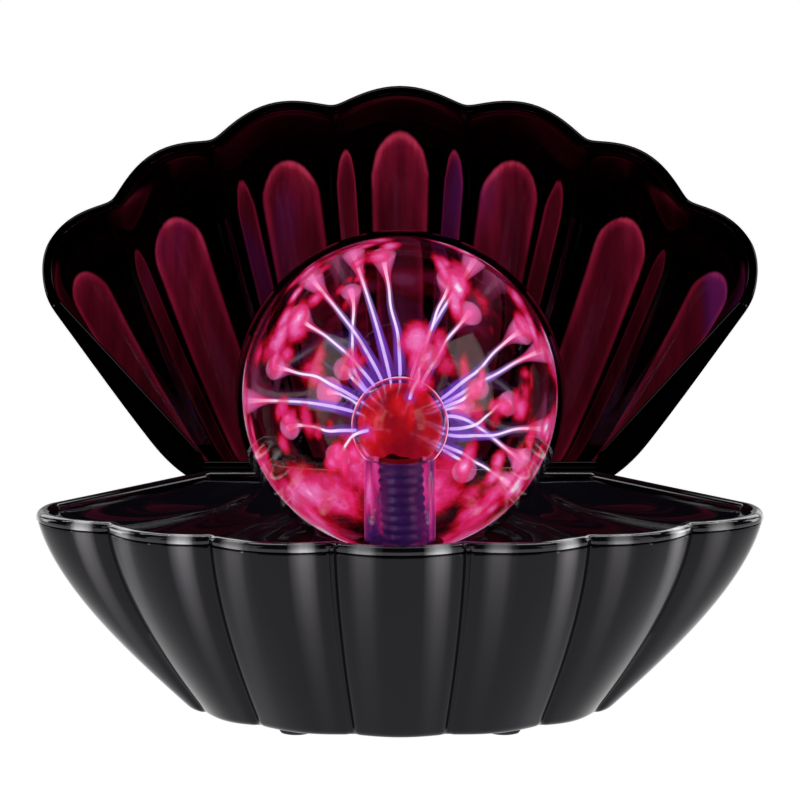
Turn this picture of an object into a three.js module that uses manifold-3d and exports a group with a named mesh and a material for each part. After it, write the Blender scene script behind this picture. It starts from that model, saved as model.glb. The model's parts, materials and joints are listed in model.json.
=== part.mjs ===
// Plasma globe lamp in a scallop shell: a lobed bowl with a fluted deck, a glass globe with a coated
// electrode standing on it, and a matching upper valve on two hinges at the back.
// Millimetres, +Z up, front towards -Y. A valve's own frame has its straight rear edge on the X axis
// and runs forward, so a distance "forward" is -Y.
import * as THREE from "three";
import { mergeVertices } from "three/addons/utils/BufferGeometryUtils.js";
import Module from "manifold-3d";

const wasm = await Module();
wasm.setup();

// Driving dimensions. A screw's or pin's hole is wider than its shank, so nothing touches.
const rimZ = 62; // rim plane above the bowl's flat bottom
const wall = 2.4; // moulded shell wall
const lipHeight = 2.8; // deck lip standing on the bowl's wall
const gap = 0.3; // clearance between touching pieces
const wallCurve = 1.55; // how the wall travels inwards with depth
const openAngle = 123; // upper valve from the rim plane, at rest
const globeRadius = 50;
const globeForward = 64; // globe axis from the rear edge
const globeZ = rimZ + 35; // globe centre
const glass = 1.6; // globe wall
const electrodeRadius = 14.5;
const electrodeDrop = 9.5; // electrode centre below the globe centre
const tubeRadius = 10.5;
const neckRadius = 15.5;
const neckBottom = globeZ - 60;
const collarRadius = 34;
const collarTop = rimZ - 9;
const hingeX = 30; // centre of each hinge
const axisForward = -0.4; // hinge axis, just behind and above the rear edge
const axisZ = rimZ + 0.2;
const knuckleRadius = 2.6;
const pinRadius = 1.1;
const boardZ = 8.3; // underside of the circuit board
const coverThickness = 1.4;
const coverScrewHole = 1.6; // radius
const boardScrewHole = 1.25; // radius

// Each outline is a fan of seven lobes about an apex behind the rear edge. The lobes stand on a
// circle, and the straight sides run from the rear corners to the rounded tips.
const rimShape = {
  apex: -71,
  circleCentre: -11.3,
  circleRadius: 135.3,
  bulge: 4.8,
  ridges: [6.06, 17.74, 29.0, 40.6],
  rear: 0,
  cornerShare: 0.105,
  cornerLength: 11,
};
const bottomShape = {
  apex: -64,
  circleCentre: 42,
  circleRadius: 66.5,
  bulge: 2.8,
  ridges: [4.8, 15.3, 23.4, 28.2],
  rear: 12,
  cornerShare: 0.16,
  cornerLength: 12,
};

const radians = THREE.MathUtils.degToRad;

// A rounded-cusp lobe: 0 on the ridges at t = 0 and 1, and 1 in the middle.
const cusp = 0.16;
function lobe(t) {
  const s = Math.sin(Math.PI * t);
  return (Math.sqrt(s * s + cusp * cusp) - cusp) / (Math.sqrt(1 + cusp * cusp) - cusp);
}

// Where a fan position (-1 to 1) lies between its two ridges, from 0 to 1.
function lobePosition(shape, fan) {
  const [k0, k1, k2, k3] = shape.ridges;
  const a = Math.abs(fan) * k3;
  if (a < k0) return 0.5 + (0.5 * a) / k0;
  if (a < k1) return (a - k0) / (k1 - k0);
  if (a < k2) return (a - k1) / (k2 - k1);
  return (a - k2) / (k3 - k2);
}

// Distance from the apex to the lobed edge at a fan position.
function fanRadius(shape, fan) {
  const a = radians(Math.abs(fan) * shape.ridges[3]);
  const offset = shape.circleCentre - shape.apex;
  const onCircle =
    offset * Math.cos(a) + Math.sqrt(shape.circleRadius ** 2 - (offset * Math.sin(a)) ** 2);
  const past = Math.max(0, Math.abs(fan) - 1 + shape.cornerShare) / shape.cornerShare;
  const corner = shape.cornerLength * (1 - Math.sqrt(Math.max(0, 1 - past * past)));
  return onCircle + shape.bulge * lobe(lobePosition(shape, fan)) - corner;
}

// The point on a fan ray at a distance r from the apex.
function fanPoint(shape, fan, r) {
  const a = radians(fan * shape.ridges[3]);
  return new THREE.Vector2(r * Math.sin(a), -(shape.apex + r * Math.cos(a)));
}

// Fan positions with the same count in every lobe, closer together towards the rounded tips.
function fanPositions(shape, perLobe) {
  const [k0, k1, k2, k3] = shape.ridges.map((k) => k / shape.ridges[3]);
  const right = [];
  for (let i = 0; i < perLobe / 2; i++) right.push((k0 * i) / (perLobe / 2));
  for (let i = 0; i < perLobe; i++) right.push(k0 + ((k1 - k0) * i) / perLobe);
  for (let i = 0; i < perLobe; i++) right.push(k1 + ((k2 - k1) * i) / perLobe);
  for (let i = 0; i <= perLobe; i++) {
    const eased = Math.sin((Math.PI / 2) * (i / perLobe));
    right.push(k2 + (k3 - k2) * eased);
  }
  const left = right.slice(1).reverse().map((f) => -f);
  return [...left, ...right];
}

// The whole outline, anticlockwise from above: the lobed front, one side, the rear, the other side.
function outline(shape, perLobe = 6, perSide = 4, perRear = 6) {
  const half = radians(shape.ridges[3]);
  const rearCorner = (shape.rear - shape.apex) * Math.tan(half);
  const front = fanPositions(shape, perLobe).map((f) => fanPoint(shape, f, fanRadius(shape, f)));
  const tip = front[front.length - 1];
  const corner = new THREE.Vector2(rearCorner, -shape.rear);
  const loop = [...front];
  for (let i = 1; i < perSide; i++) loop.push(tip.clone().lerp(corner, i / perSide));
  for (let i = 0; i <= perRear; i++)
    loop.push(new THREE.Vector2(rearCorner * (1 - (2 * i) / perRear), -shape.rear));
  for (let i = perSide - 1; i > 0; i--) {
    const p = tip.clone().lerp(corner, i / perSide);
    loop.push(new THREE.Vector2(-p.x, p.y));
  }
  return loop;
}

// An anticlockwise loop moved inwards by a distance, along each corner's bisector.
function insetLoop(loop, distance) {
  return loop.map((p, i) => {
    const before = loop[(i + loop.length - 1) % loop.length];
    const after = loop[(i + 1) % loop.length];
    const u = p.clone().sub(before).normalize();
    const v = after.clone().sub(p).normalize();
    const n = new THREE.Vector2(-u.y - v.y, u.x + v.x).normalize();
    const stretch = Math.min(1.4, 1 / Math.max(0.1, -n.x * u.y + n.y * u.x));
    return p.clone().addScaledVector(n, distance * stretch);
  });
}

const ringAt = (loop, z) => loop.map((p) => new THREE.Vector3(p.x, p.y, z));

// Mesh from points and triangles, with equal points joined and empty triangles dropped.
function weld(points, triangles) {
  const raw = new THREE.BufferGeometry();
  const numbers = points.flatMap((p) => [p.x, p.y, p.z]);
  raw.setAttribute("position", new THREE.Float32BufferAttribute(numbers, 3));
  raw.setIndex(triangles.flat());
  const merged = mergeVertices(raw, 1e-3);
  const kept = [];
  for (let i = 0; i < merged.index.count; i += 3) {
    const [a, b, c] = [0, 1, 2].map((k) => merged.index.getX(i + k));
    if (a !== b && b !== c && a !== c) kept.push(a, b, c);
  }
  merged.setIndex(kept);
  return merged;
}

// Rings of equal count joined in order. With joined = true the last ring meets the first, as round a
// tube; otherwise both ends are capped.
function loft(rings, joined = false) {
  const n = rings[0].length;
  const points = rings.flat();
  const triangles = [];
  const last = joined ? rings.length : rings.length - 1;
  for (let k = 0; k < last; k++) {
    const low = k * n;
    const high = ((k + 1) % rings.length) * n;
    for (let i = 0; i < n; i++) {
      const j = (i + 1) % n;
      triangles.push([low + i, low + j, high + j], [low + i, high + j, high + i]);
    }
  }
  if (!joined) {
    [rings[0], rings[rings.length - 1]].forEach((ring, end) => {
      const centre = ring.reduce((s, p) => s.add(p), new THREE.Vector3()).divideScalar(n);
      const c = points.push(centre) - 1;
      const start = end ? (rings.length - 1) * n : 0;
      for (let i = 0; i < n; i++) {
        const j = (i + 1) % n;
        triangles.push(end ? [c, start + i, start + j] : [c, start + j, start + i]);
      }
    });
  }
  return weld(points, triangles);
}

// A slab between two grids of points, with its four edges closed. The first grid faces up when its
// rows run forward and its columns run to the right.
function slab(upper, lower) {
  const columns = upper[0].length;
  const rows = upper.length;
  const points = [...upper.flat(), ...lower.flat()];
  const half = rows * columns;
  const triangles = [];
  for (let r = 0; r < rows - 1; r++)
    for (let c = 0; c < columns - 1; c++) {
      const a = r * columns + c;
      const [b, d, e] = [a + columns, a + columns + 1, a + 1];
      triangles.push([a, b, d], [a, d, e]);
      triangles.push([a + half, d + half, b + half], [a + half, e + half, d + half]);
    }
  const edge = [];
  for (let r = 0; r < rows - 1; r++) edge.push(r * columns);
  for (let c = 0; c < columns - 1; c++) edge.push((rows - 1) * columns + c);
  for (let r = rows - 1; r > 0; r--) edge.push(r * columns + columns - 1);
  for (let c = columns - 1; c > 0; c--) edge.push(c);
  edge.forEach((a, i) => {
    const b = edge[(i + 1) % edge.length];
    triangles.push([a, a + half, b + half], [a, b + half, b]);
  });
  return weld(points, triangles);
}

// Solids for cutting and joining
function solid(geometry) {
  const g = geometry.clone();
  g.deleteAttribute("normal");
  g.deleteAttribute("uv");
  const merged = mergeVertices(g, 1e-4);
  return new wasm.Manifold(
    new wasm.Mesh({
      numProp: 3,
      vertProperties: new Float32Array(merged.attributes.position.array),
      triVerts: new Uint32Array(merged.index.array),
    }),
  );
}

function geometryOf(body) {
  const mesh = body.getMesh();
  const g = new THREE.BufferGeometry();
  g.setAttribute("position", new THREE.BufferAttribute(new Float32Array(mesh.vertProperties), 3));
  g.setIndex(new THREE.BufferAttribute(new Uint32Array(mesh.triVerts), 1));
  return g;
}

// A box between two corners, with "forward" distances already turned into Y.
function block(x0, x1, y0, y1, z0, z1) {
  const g = new THREE.BoxGeometry(x1 - x0, y1 - y0, z1 - z0);
  return g.translate((x0 + x1) / 2, (y0 + y1) / 2, (z0 + z1) / 2);
}

// A cylinder along Z, X or Y from a start point.
function rod(radius, length, x, y, z, along = "z", sides = 20) {
  const g = new THREE.CylinderGeometry(radius, radius, length, sides);
  g.translate(0, length / 2, 0);
  if (along === "z") g.rotateX(Math.PI / 2);
  if (along === "x") g.rotateZ(-Math.PI / 2);
  return g.translate(x, y, z);
}

// A turned piece: radius and height pairs about a vertical axis.
function turned(profile, x, y, sides = 48) {
  const points = profile.map(([r, z]) => new THREE.Vector2(r, z));
  return new THREE.LatheGeometry(points, sides).rotateX(Math.PI / 2).translate(x, y, 0);
}

const join = (...parts) => parts.map(solid).reduce((a, b) => a.add(b));
const cut = (body, ...tools) => tools.map(solid).reduce((a, b) => a.subtract(b), body);

const finishes = {
  blackShell: { color: 0x0a0a0c, roughness: 0.08, metalness: 0 },
  blackInner: { color: 0x101013, roughness: 0.35, metalness: 0 },
  clearGlass: { color: 0xf2f4f8, roughness: 0.02, metalness: 0, transparent: true, opacity: 0.3 },
  redCoating: { color: 0xb01230, roughness: 0.45, metalness: 0.2 },
  darkSteel: { color: 0x55555a, roughness: 0.35, metalness: 0.9 },
  brightSteel: { color: 0xb8babd, roughness: 0.25, metalness: 1 },
  rubber: { color: 0x161616, roughness: 0.85, metalness: 0 },
  foam: { color: 0x25252a, roughness: 0.95, metalness: 0 },
  board: { color: 0x1d5a34, roughness: 0.5, metalness: 0 },
  ferrite: { color: 0x2e2c2e, roughness: 0.7, metalness: 0.1 },
  winding: { color: 0xd8a83a, roughness: 0.45, metalness: 0 },
  aluminium: { color: 0xa9abad, roughness: 0.35, metalness: 1 },
  redWire: { color: 0xa01818, roughness: 0.4, metalness: 0 },
  capSleeve: { color: 0x1b2a6b, roughness: 0.35, metalness: 0 },
};

const lamp = new THREE.Group();

function place(name, geometry, finish, parent = lamp) {
  const mesh = new THREE.Mesh(geometry, new THREE.MeshStandardMaterial(finishes[finish]));
  mesh.name = name;
  parent.add(mesh);
  return mesh;
}

// Lower valve: a bowl whose lobed outline shrinks to the smaller lobed foot
const rimLoop = outline(rimShape);
const bottomLoop = outline(bottomShape);
const bowlTop = rimZ - lipHeight - gap;

function bowlLoop(z) {
  const share = ((rimZ - z) / rimZ) ** wallCurve;
  return rimLoop.map((p, i) => p.clone().lerp(bottomLoop[i], share));
}

const floorX = 33; // half width of the service opening
const floorFront = -84;
const floorRear = -30;
const panelX = 25; // half width of the rear connector panel
const panelLow = 14;
const panelHigh = 31;
const panelY = -8.2; // outer face of the panel

const bossBottom = 1.7;
const bossTop = 9;
const bossInner = 4; // from the screw's axis to the boss's inner faces
const bossOuter = 7; // and to its outer faces, which run past the opening's edge
const bossPlaces = [-1, 1].flatMap((side) => [
  [side * (floorX - bossInner), floorFront + bossInner],
  [side * (floorX - bossInner), floorRear - bossInner],
]);

// Room for a hinge's knuckles, cut across a rear edge at a height and a distance behind it.
function hingeNotches(y, z) {
  const length = 19.2;
  const radius = knuckleRadius + 0.5;
  return [-1, 1].map((side) => rod(radius, length, side * hingeX - length / 2, y, z, "x", 20));
}

// A block between two corners given in any order.
function spanned(x0, x1, y0, y1, z0, z1) {
  return block(Math.min(x0, x1), Math.max(x0, x1), Math.min(y0, y1), Math.max(y0, y1), z0, z1);
}

function baseBowl() {
  const levels = [0, 4, 10, 18, 28, 40, 51];
  const outer = [...levels, bowlTop].map((z) => ringAt(bowlLoop(z), z));
  const inner = [bowlTop, 50, 38, 26, 16, 8, wall].map((z) => ringAt(insetLoop(bowlLoop(z), wall), z));
  const shell = solid(loft([...outer, ...inner]));
  const open = cut(
    shell,
    block(-floorX, floorX, floorFront, floorRear, -5, wall + 1),
    block(-panelX - gap, panelX + gap, -30, 10, panelLow - gap, panelHigh + gap),
  );
  const middleY = (floorFront + floorRear) / 2;
  const bosses = bossPlaces.map(([x, y]) => {
    const across = Math.sign(x);
    const along = Math.sign(y - middleY);
    return spanned(
      x - across * bossInner,
      x + across * bossOuter,
      y - along * bossInner,
      y + along * bossOuter,
      bossBottom,
      bossTop,
    );
  });
  const withBosses = bosses.map(solid).reduce((a, b) => a.add(b), open);
  const holes = bossPlaces.map(([x, y]) => rod(coverScrewHole, 20, x, y, -2, "z", 12));
  return geometryOf(cut(withBosses, ...holes, ...hingeNotches(-axisForward, axisZ)));
}
place("base_bowl", baseBowl(), "blackShell");

// Fluted deck: a lip on the bowl's wall, then a shallow scallop whose ridges run to the hinge, with a
// round flat seat for the globe
const deckHole = collarRadius + gap;
const deckThickness = 2.2;
const deckDepth = 11; // deepest part of the dish, below the rim
const dishEdge = 2; // where the dish starts under the lip, below the rim
const fluteDepth = 3.2;
const seatDrop = 10.6; // deck top round the globe's collar, below the rim
const seatEdge = [37, 52]; // the flat seat runs out into the flutes between these radii

function smoothStep(low, high, value) {
  const t = THREE.MathUtils.clamp((value - low) / (high - low), 0, 1);
  return t * t * (3 - 2 * t);
}

// Depth of the deck below the rim at a fan position and a share of the way from the rear to the edge.
// The dish is a flat-bottomed bowl with rounded sides, and its flutes fade out at the edge.
function deckDrop(fan, reach, p) {
  const front = (1 - reach ** 3.2) ** (1 / 1.6);
  const side = (1 - Math.abs(fan) ** 2.6) ** (1 / 1.6);
  const rear = Math.sqrt(smoothStep(0, 0.3, reach));
  const level = front * side;
  const fade = Math.min(1, 1.6 * level) * smoothStep(0, 0.2, level);
  const flute = fluteDepth * (lobe(lobePosition(rimShape, fan)) - 0.5) * fade;
  const dish = dishEdge + ((deckDepth - dishEdge) * level + flute) * rear;
  const seat = smoothStep(seatEdge[1], seatEdge[0], Math.hypot(p.x, p.y + globeForward));
  return THREE.MathUtils.lerp(dish, seatDrop, seat);
}

function deckTray() {
  const lipWidth = 4.4;
  const lip = loft(
    [
      ringAt(rimLoop, rimZ - lipHeight),
      ringAt(rimLoop, rimZ - 0.9),
      ringAt(insetLoop(rimLoop, 0.9), rimZ),
      ringAt(insetLoop(rimLoop, 2.6), rimZ),
      ringAt(insetLoop(rimLoop, lipWidth), rimZ - 1.8),
      ringAt(insetLoop(rimLoop, lipWidth), rimZ - lipHeight),
    ],
    true,
  );
  const fans = fanPositions(rimShape, 6);
  const reaches = [0, 0.1, 0.22, 0.36, 0.5, 0.64, 0.76, 0.86, 0.93, 0.97, 1];
  const under = 3.9; // the dish stops this far in, under the lip
  const sideShift = under / Math.cos(radians(rimShape.ridges[3]));
  const upper = reaches.map((t) =>
    fans.map((f) => {
      const rear = (rimShape.rear + under - rimShape.apex) / Math.cos(radians(f * rimShape.ridges[3]));
      const edge = fanRadius(rimShape, f) - under;
      const p = fanPoint(rimShape, f, THREE.MathUtils.lerp(rear, edge, t));
      p.x -= f * sideShift;
      return new THREE.Vector3(p.x, p.y, rimZ - deckDrop(f, t, p));
    }),
  );
  const lower = upper.map((row) => row.map((p) => p.clone().setZ(p.z - deckThickness)));
  const shape = solid(slab(upper, lower));
  const hole = rod(deckHole, 40, 0, -globeForward, rimZ - 30, "z", 48);
  return geometryOf(cut(shape.add(solid(lip)), hole, ...hingeNotches(-axisForward, axisZ)));
}
place("deck_tray", deckTray(), "blackShell");

// Service cover in the floor, with the posts that carry the circuit board
const postPlaces = [-21, 21].flatMap((x) => [
  [x, -74],
  [x, -40],
]);

function bottomCover() {
  const plate = block(-floorX + gap, floorX - gap, floorFront + gap, floorRear - gap, 0, coverThickness);
  const posts = postPlaces.map(([x, y]) => rod(2.6, boardZ - gap - 1, x, y, 1, "z", 16));
  const holes = bossPlaces.map(([x, y]) => rod(coverScrewHole, 6, x, y, -2, "z", 12));
  const pilots = postPlaces.map(([x, y]) => rod(1.15, 5, x, y, 4, "z", 12));
  return geometryOf(cut(join(plate, ...posts), ...holes, ...pilots));
}
place("bottom_cover", bottomCover(), "blackInner");

// A pan-head screw standing on its shank's axis: the head is below when up = 1, above when up = -1.
function screw(x, y, seatZ, headRadius, shankRadius, length, up) {
  const head = 1.0;
  const profile = [
    [0, -head],
    [headRadius * 0.8, -head],
    [headRadius, -head * 0.5],
    [headRadius, 0],
    [shankRadius, 0],
    [shankRadius, length],
    [0, length],
  ];
  const points = profile.map(([r, z]) => [r, seatZ + up * z]);
  return turned(up > 0 ? points : points.reverse(), x, y, 14);
}
bossPlaces.forEach(([x, y], i) => {
  place(`cover_screw_${i + 1}`, screw(x, y, -gap, 2.7, 1.3, 8, 1), "darkSteel");
});
const boardTop = boardZ + 1.6;
postPlaces.forEach(([x, y], i) => {
  place(`board_screw_${i + 1}`, screw(x, y, boardTop + gap, 2.3, 0.85, 5, -1), "brightSteel");
});

// Rubber feet
const footPlaces = [
  [-31.5, -93],
  [31.5, -93],
  [-33, -21],
  [33, -21],
];
const footProfile = [
  [0, -1.9],
  [4.2, -1.9],
  [5, -1.3],
  [5, -gap],
  [0, -gap],
];
footPlaces.forEach(([x, y], i) => place(`foot_${i + 1}`, turned(footProfile, x, y, 20), "rubber"));

// Globe, its collar and its seat
const globeY = -globeForward;

// Points of a sphere's section from one height angle to another, about a centre height.
function arcPoints(radius, centreZ, fromAngle, toAngle, count) {
  return Array.from({ length: count + 1 }, (_, i) => {
    const a = fromAngle + ((toAngle - fromAngle) * i) / count;
    return [radius * Math.cos(a), centreZ + radius * Math.sin(a)];
  });
}

function vessel(radius, thickness, centreZ, stemRadius, stemBottom, count, sides) {
  const innerStem = stemRadius - thickness;
  const outer = arcPoints(radius, centreZ, -Math.acos(stemRadius / radius), Math.PI / 2, count);
  const innerR = radius - thickness;
  const inner = arcPoints(innerR, centreZ, Math.PI / 2, -Math.acos(innerStem / innerR), count);
  outer[outer.length - 1][0] = 0;
  inner[0][0] = 0;
  const profile = [...inner, [innerStem, stemBottom], [stemRadius, stemBottom], ...outer];
  return turned(profile, 0, globeY, sides);
}
place("globe_glass", vessel(globeRadius, glass, globeZ, neckRadius, neckBottom, 14, 40), "clearGlass");

const electrodeZ = globeZ - electrodeDrop;
const electrodeGlass = 1.3;
place(
  "electrode_glass",
  vessel(electrodeRadius, electrodeGlass, electrodeZ, tubeRadius, neckBottom - 2, 8, 28),
  "clearGlass",
);

// Conductive coating inside the electrode, thick enough to stand as a plug
const coatRadius = electrodeRadius - electrodeGlass - gap;
const coatProfile = arcPoints(coatRadius, electrodeZ, Math.asin(-0.62), Math.PI / 2, 7);
coatProfile[coatProfile.length - 1][0] = 0;
place(
  "electrode_coating",
  turned([[0, electrodeZ - coatRadius * 0.62], ...coatProfile], 0, globeY, 28),
  "redCoating",
);

// Ridged contact sleeve inside the electrode's stem, leaning a little
const coilTop = electrodeZ - 9.3;
const coilGroove = 6.3;
const coilRidge = 7.0;
const coilBore = 5;
const coilPitch = 2.9;
const coilTurns = 12;
const coilLean = 3.0; // degrees

function contactCoil() {
  const outer = [];
  for (let i = 0; i <= coilTurns * 2; i++) {
    outer.push([i % 2 ? coilRidge : coilGroove, -(i * coilPitch) / 2]);
  }
  const length = coilTurns * coilPitch;
  const profile = [...outer.reverse(), [coilBore, 0], [coilBore, -length], outer[0]];
  return turned(profile, 0, 0, 18);
}
const coil = place("contact_coil", contactCoil(), "darkSteel");
coil.position.set(0, globeY, coilTop);
coil.rotation.y = radians(-coilLean);

// Plug that holds the stem in the globe's neck
place(
  "neck_plug",
  turned(
    [
      [tubeRadius + gap, neckBottom + 1],
      [neckRadius - glass - gap, neckBottom + 1],
      [neckRadius - glass - gap, neckBottom + 9],
      [tubeRadius + gap, neckBottom + 9],
      [tubeRadius + gap, neckBottom + 1],
    ],
    0,
    globeY,
    28,
  ),
  "blackInner",
);

const collarBore = 22;
const collarFlange = 39; // the flange lies under the deck
const collarBottom = collarTop - 8;
const flangeTop = collarTop - 4.1;
place(
  "globe_collar",
  turned(
    [
      [collarBore, collarBottom],
      [collarFlange, collarBottom],
      [collarFlange, flangeTop],
      [collarRadius, flangeTop],
      [collarRadius, collarTop - 1],
      [collarRadius - 1, collarTop],
      [collarBore + 4.2, collarTop],
      [collarBore, collarTop - 2.4],
      [collarBore, collarBottom],
    ],
    0,
    globeY,
    48,
  ),
  "blackShell",
);

place(
  "globe_gasket",
  turned(
    [
      [neckRadius + gap, collarBottom],
      [collarBore - gap, collarBottom],
      [collarBore - gap, flangeTop - 0.1],
      [neckRadius + gap, flangeTop - 0.1],
      [neckRadius + gap, collarBottom],
    ],
    0,
    globeY,
    32,
  ),
  "foam",
);

// Electronics on the board
const partZ = boardTop + gap;

function circuitBoard() {
  const holes = postPlaces.map(([x, y]) => rod(boardScrewHole, 6, x, y, boardZ - 2, "z", 12));
  return geometryOf(cut(solid(block(-25, 25, -79, -35, boardZ, boardTop)), ...holes));
}
place("circuit_board", circuitBoard(), "board");

const coreX = [-19, -14, 0, 5]; // outer and window edges of the closed core
const coreY = [-72, -64];
const barZ = [partZ + 12.5, partZ + 17]; // top bar, which carries the winding

function transformerCore() {
  const frame = solid(block(coreX[0], coreX[3], ...coreY, partZ, barZ[1]));
  return geometryOf(cut(frame, block(coreX[1], coreX[2], -80, -60, partZ + 4.5, barZ[0])));
}
place("transformer_core", transformerCore(), "ferrite");

function transformerWinding() {
  const [y0, y1] = coreY;
  const length = coreX[2] - coreX[1] - 2 * gap;
  const bobbin = rod(6.6, length, coreX[1] + gap, (y0 + y1) / 2, (barZ[0] + barZ[1]) / 2, "x", 24);
  const hole = block(-20, 6, y0 - gap, y1 + gap, barZ[0] - gap, barZ[1] + gap);
  return geometryOf(cut(solid(bobbin), hole));
}
place("transformer_winding", transformerWinding(), "winding");

function heatSink() {
  const back = block(10, 24.5, -52, -50, partZ, partZ + 20);
  const fins = [10, 14.1, 18.3, 22.5].map((x) => block(x, x + 2, -50.5, -43.5, partZ, partZ + 20));
  return geometryOf(join(back, ...fins));
}
place("heat_sink", heatSink(), "aluminium");

function transistor() {
  const body = block(12.5, 22.5, -57, -52 - gap, partZ + 4, partZ + 13);
  const tab = block(12.5, 22.5, -53.6, -52 - gap, partZ + 12.5, partZ + 19);
  const legs = [14.6, 17.1, 19.6].map((x) => block(x, x + 0.8, -55, -54, partZ, partZ + 4.5));
  return geometryOf(join(body, tab, ...legs));
}
place("power_transistor", transistor(), "blackInner");

[
  [-17, -48, 5, 12],
  [-4, -46, 4, 10],
].forEach(([x, y, r, h], i) =>
  place(
    `capacitor_${i + 1}`,
    turned(
      [
        [0, partZ],
        [r, partZ],
        [r, partZ + h - 0.7],
        [r - 0.7, partZ + h],
        [0, partZ + h],
      ],
      x,
      y,
      20,
    ),
    "capSleeve",
  ),
);

// Lead from the transformer up into the contact sleeve
function highVoltageLead() {
  const route = new THREE.CatmullRomCurve3([
    new THREE.Vector3(-7, -76.4, partZ + 14.8),
    new THREE.Vector3(-3, -76.6, partZ + 19),
    new THREE.Vector3(1.8, -71, partZ + 21.5),
    new THREE.Vector3(2.3, -66.5, partZ + 24.5),
    new THREE.Vector3(2.4, globeY, partZ + 30),
    new THREE.Vector3(2.2, globeY, partZ + 37),
  ]);
  const section = new THREE.Shape();
  section.absarc(0, 0, 1.1, 0, Math.PI * 2);
  return new THREE.ExtrudeGeometry(section, { steps: 26, curveSegments: 4, extrudePath: route });
}
place("high_voltage_lead", highVoltageLead(), "redWire");

// Connector panel in the rear wall, with the supply socket and the slide switch
const jackX = -12;
const switchX = 10;
const panelMidZ = (panelLow + panelHigh) / 2;

// A box centred across and up on the switch, between two distances from the panel's outer face.
function onSwitch(halfX, halfZ, y0, y1) {
  const g = block(-halfX, halfX, panelY + y0, panelY + y1, -halfZ, halfZ);
  return g.translate(switchX, 0, panelMidZ);
}
const slotHalfX = 4.3;
const slotHalfZ = 2.3;

function rearPanel() {
  const plate = solid(block(-panelX, panelX, panelY - 2, panelY, panelLow, panelHigh));
  const jackHole = rod(4.3, 10, jackX, panelY - 5, panelMidZ, "y", 24);
  return geometryOf(cut(plate, jackHole, onSwitch(slotHalfX, slotHalfZ, -5, 5)));
}
place("rear_panel", rearPanel(), "blackInner");

function inletJack() {
  const nose = rod(4, 3, jackX, panelY - 3, panelMidZ, "y", 24);
  const body = block(jackX - 5, jackX + 5, panelY - 13, panelY - 2 - gap, panelMidZ - 5, panelMidZ + 5);
  return geometryOf(cut(join(nose, body), rod(3.1, 12, jackX, panelY - 10.5, panelMidZ, "y", 24)));
}
place("inlet_jack", inletJack(), "blackInner");
place("inlet_pin", rod(1.0, 8.2, jackX, panelY - 10.2, panelMidZ, "y", 16), "brightSteel");

function switchBody() {
  return geometryOf(cut(solid(onSwitch(8, 4, -9.5, -2 - gap)), onSwitch(slotHalfX, slotHalfZ, -6, 1)));
}
place("switch_body", switchBody(), "darkSteel");

function switchKnob() {
  const grooves = [-1.1, 0, 1.1].map((x) => onSwitch(0.2, 3, 1.2, 3).translate(x, 0, 0));
  return geometryOf(cut(solid(onSwitch(2, 1.9, -5.5, 1.6)), ...grooves));
}
place("switch_knob", switchKnob(), "blackInner");

// Upper valve, modelled closed about the hinge axis and turned open in its group
const lidSlack = 0.1; // rim plane over the hinge axis
const lidRearDepth = 24;
const domeTop = 71; // the dome's own top, before the rear rounding and the channels
const domeForward = 22.4; // where that is, along a fan ray from the hinge line
const domeFall = 0.0044; // how fast the dome falls away in front of it, per millimetre
const rearRound = 50; // length of the rounding between the rear wall and the dome
const rayLength = 129;
const lid = new THREE.Group();
lid.position.set(0, -axisForward, axisZ);
lid.rotation.x = radians(-openAngle);
lamp.add(lid);

// Depth of the upper valve over the rim plane: a steep wall at the edge, then a dome that is deepest
// towards the hinge, with seven channels along the fan.
function lidHeight(fan, reach) {
  const front = (1 - reach ** 44) ** (1 / 1.8);
  const side = (1 - Math.abs(fan) ** 10) ** (1 / 1.8);
  const forward = reach * rayLength;
  const dome = domeTop - domeFall * (forward - domeForward) ** 2;
  const rise = Math.sin((Math.PI / 2) * Math.min(1, forward / rearRound));
  const floor = lidRearDepth + (dome - lidRearDepth) * rise;
  const channel = (1.2 + 2.6 * reach) * lobe(lobePosition(rimShape, fan));
  return (floor + channel) * front * side;
}

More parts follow.
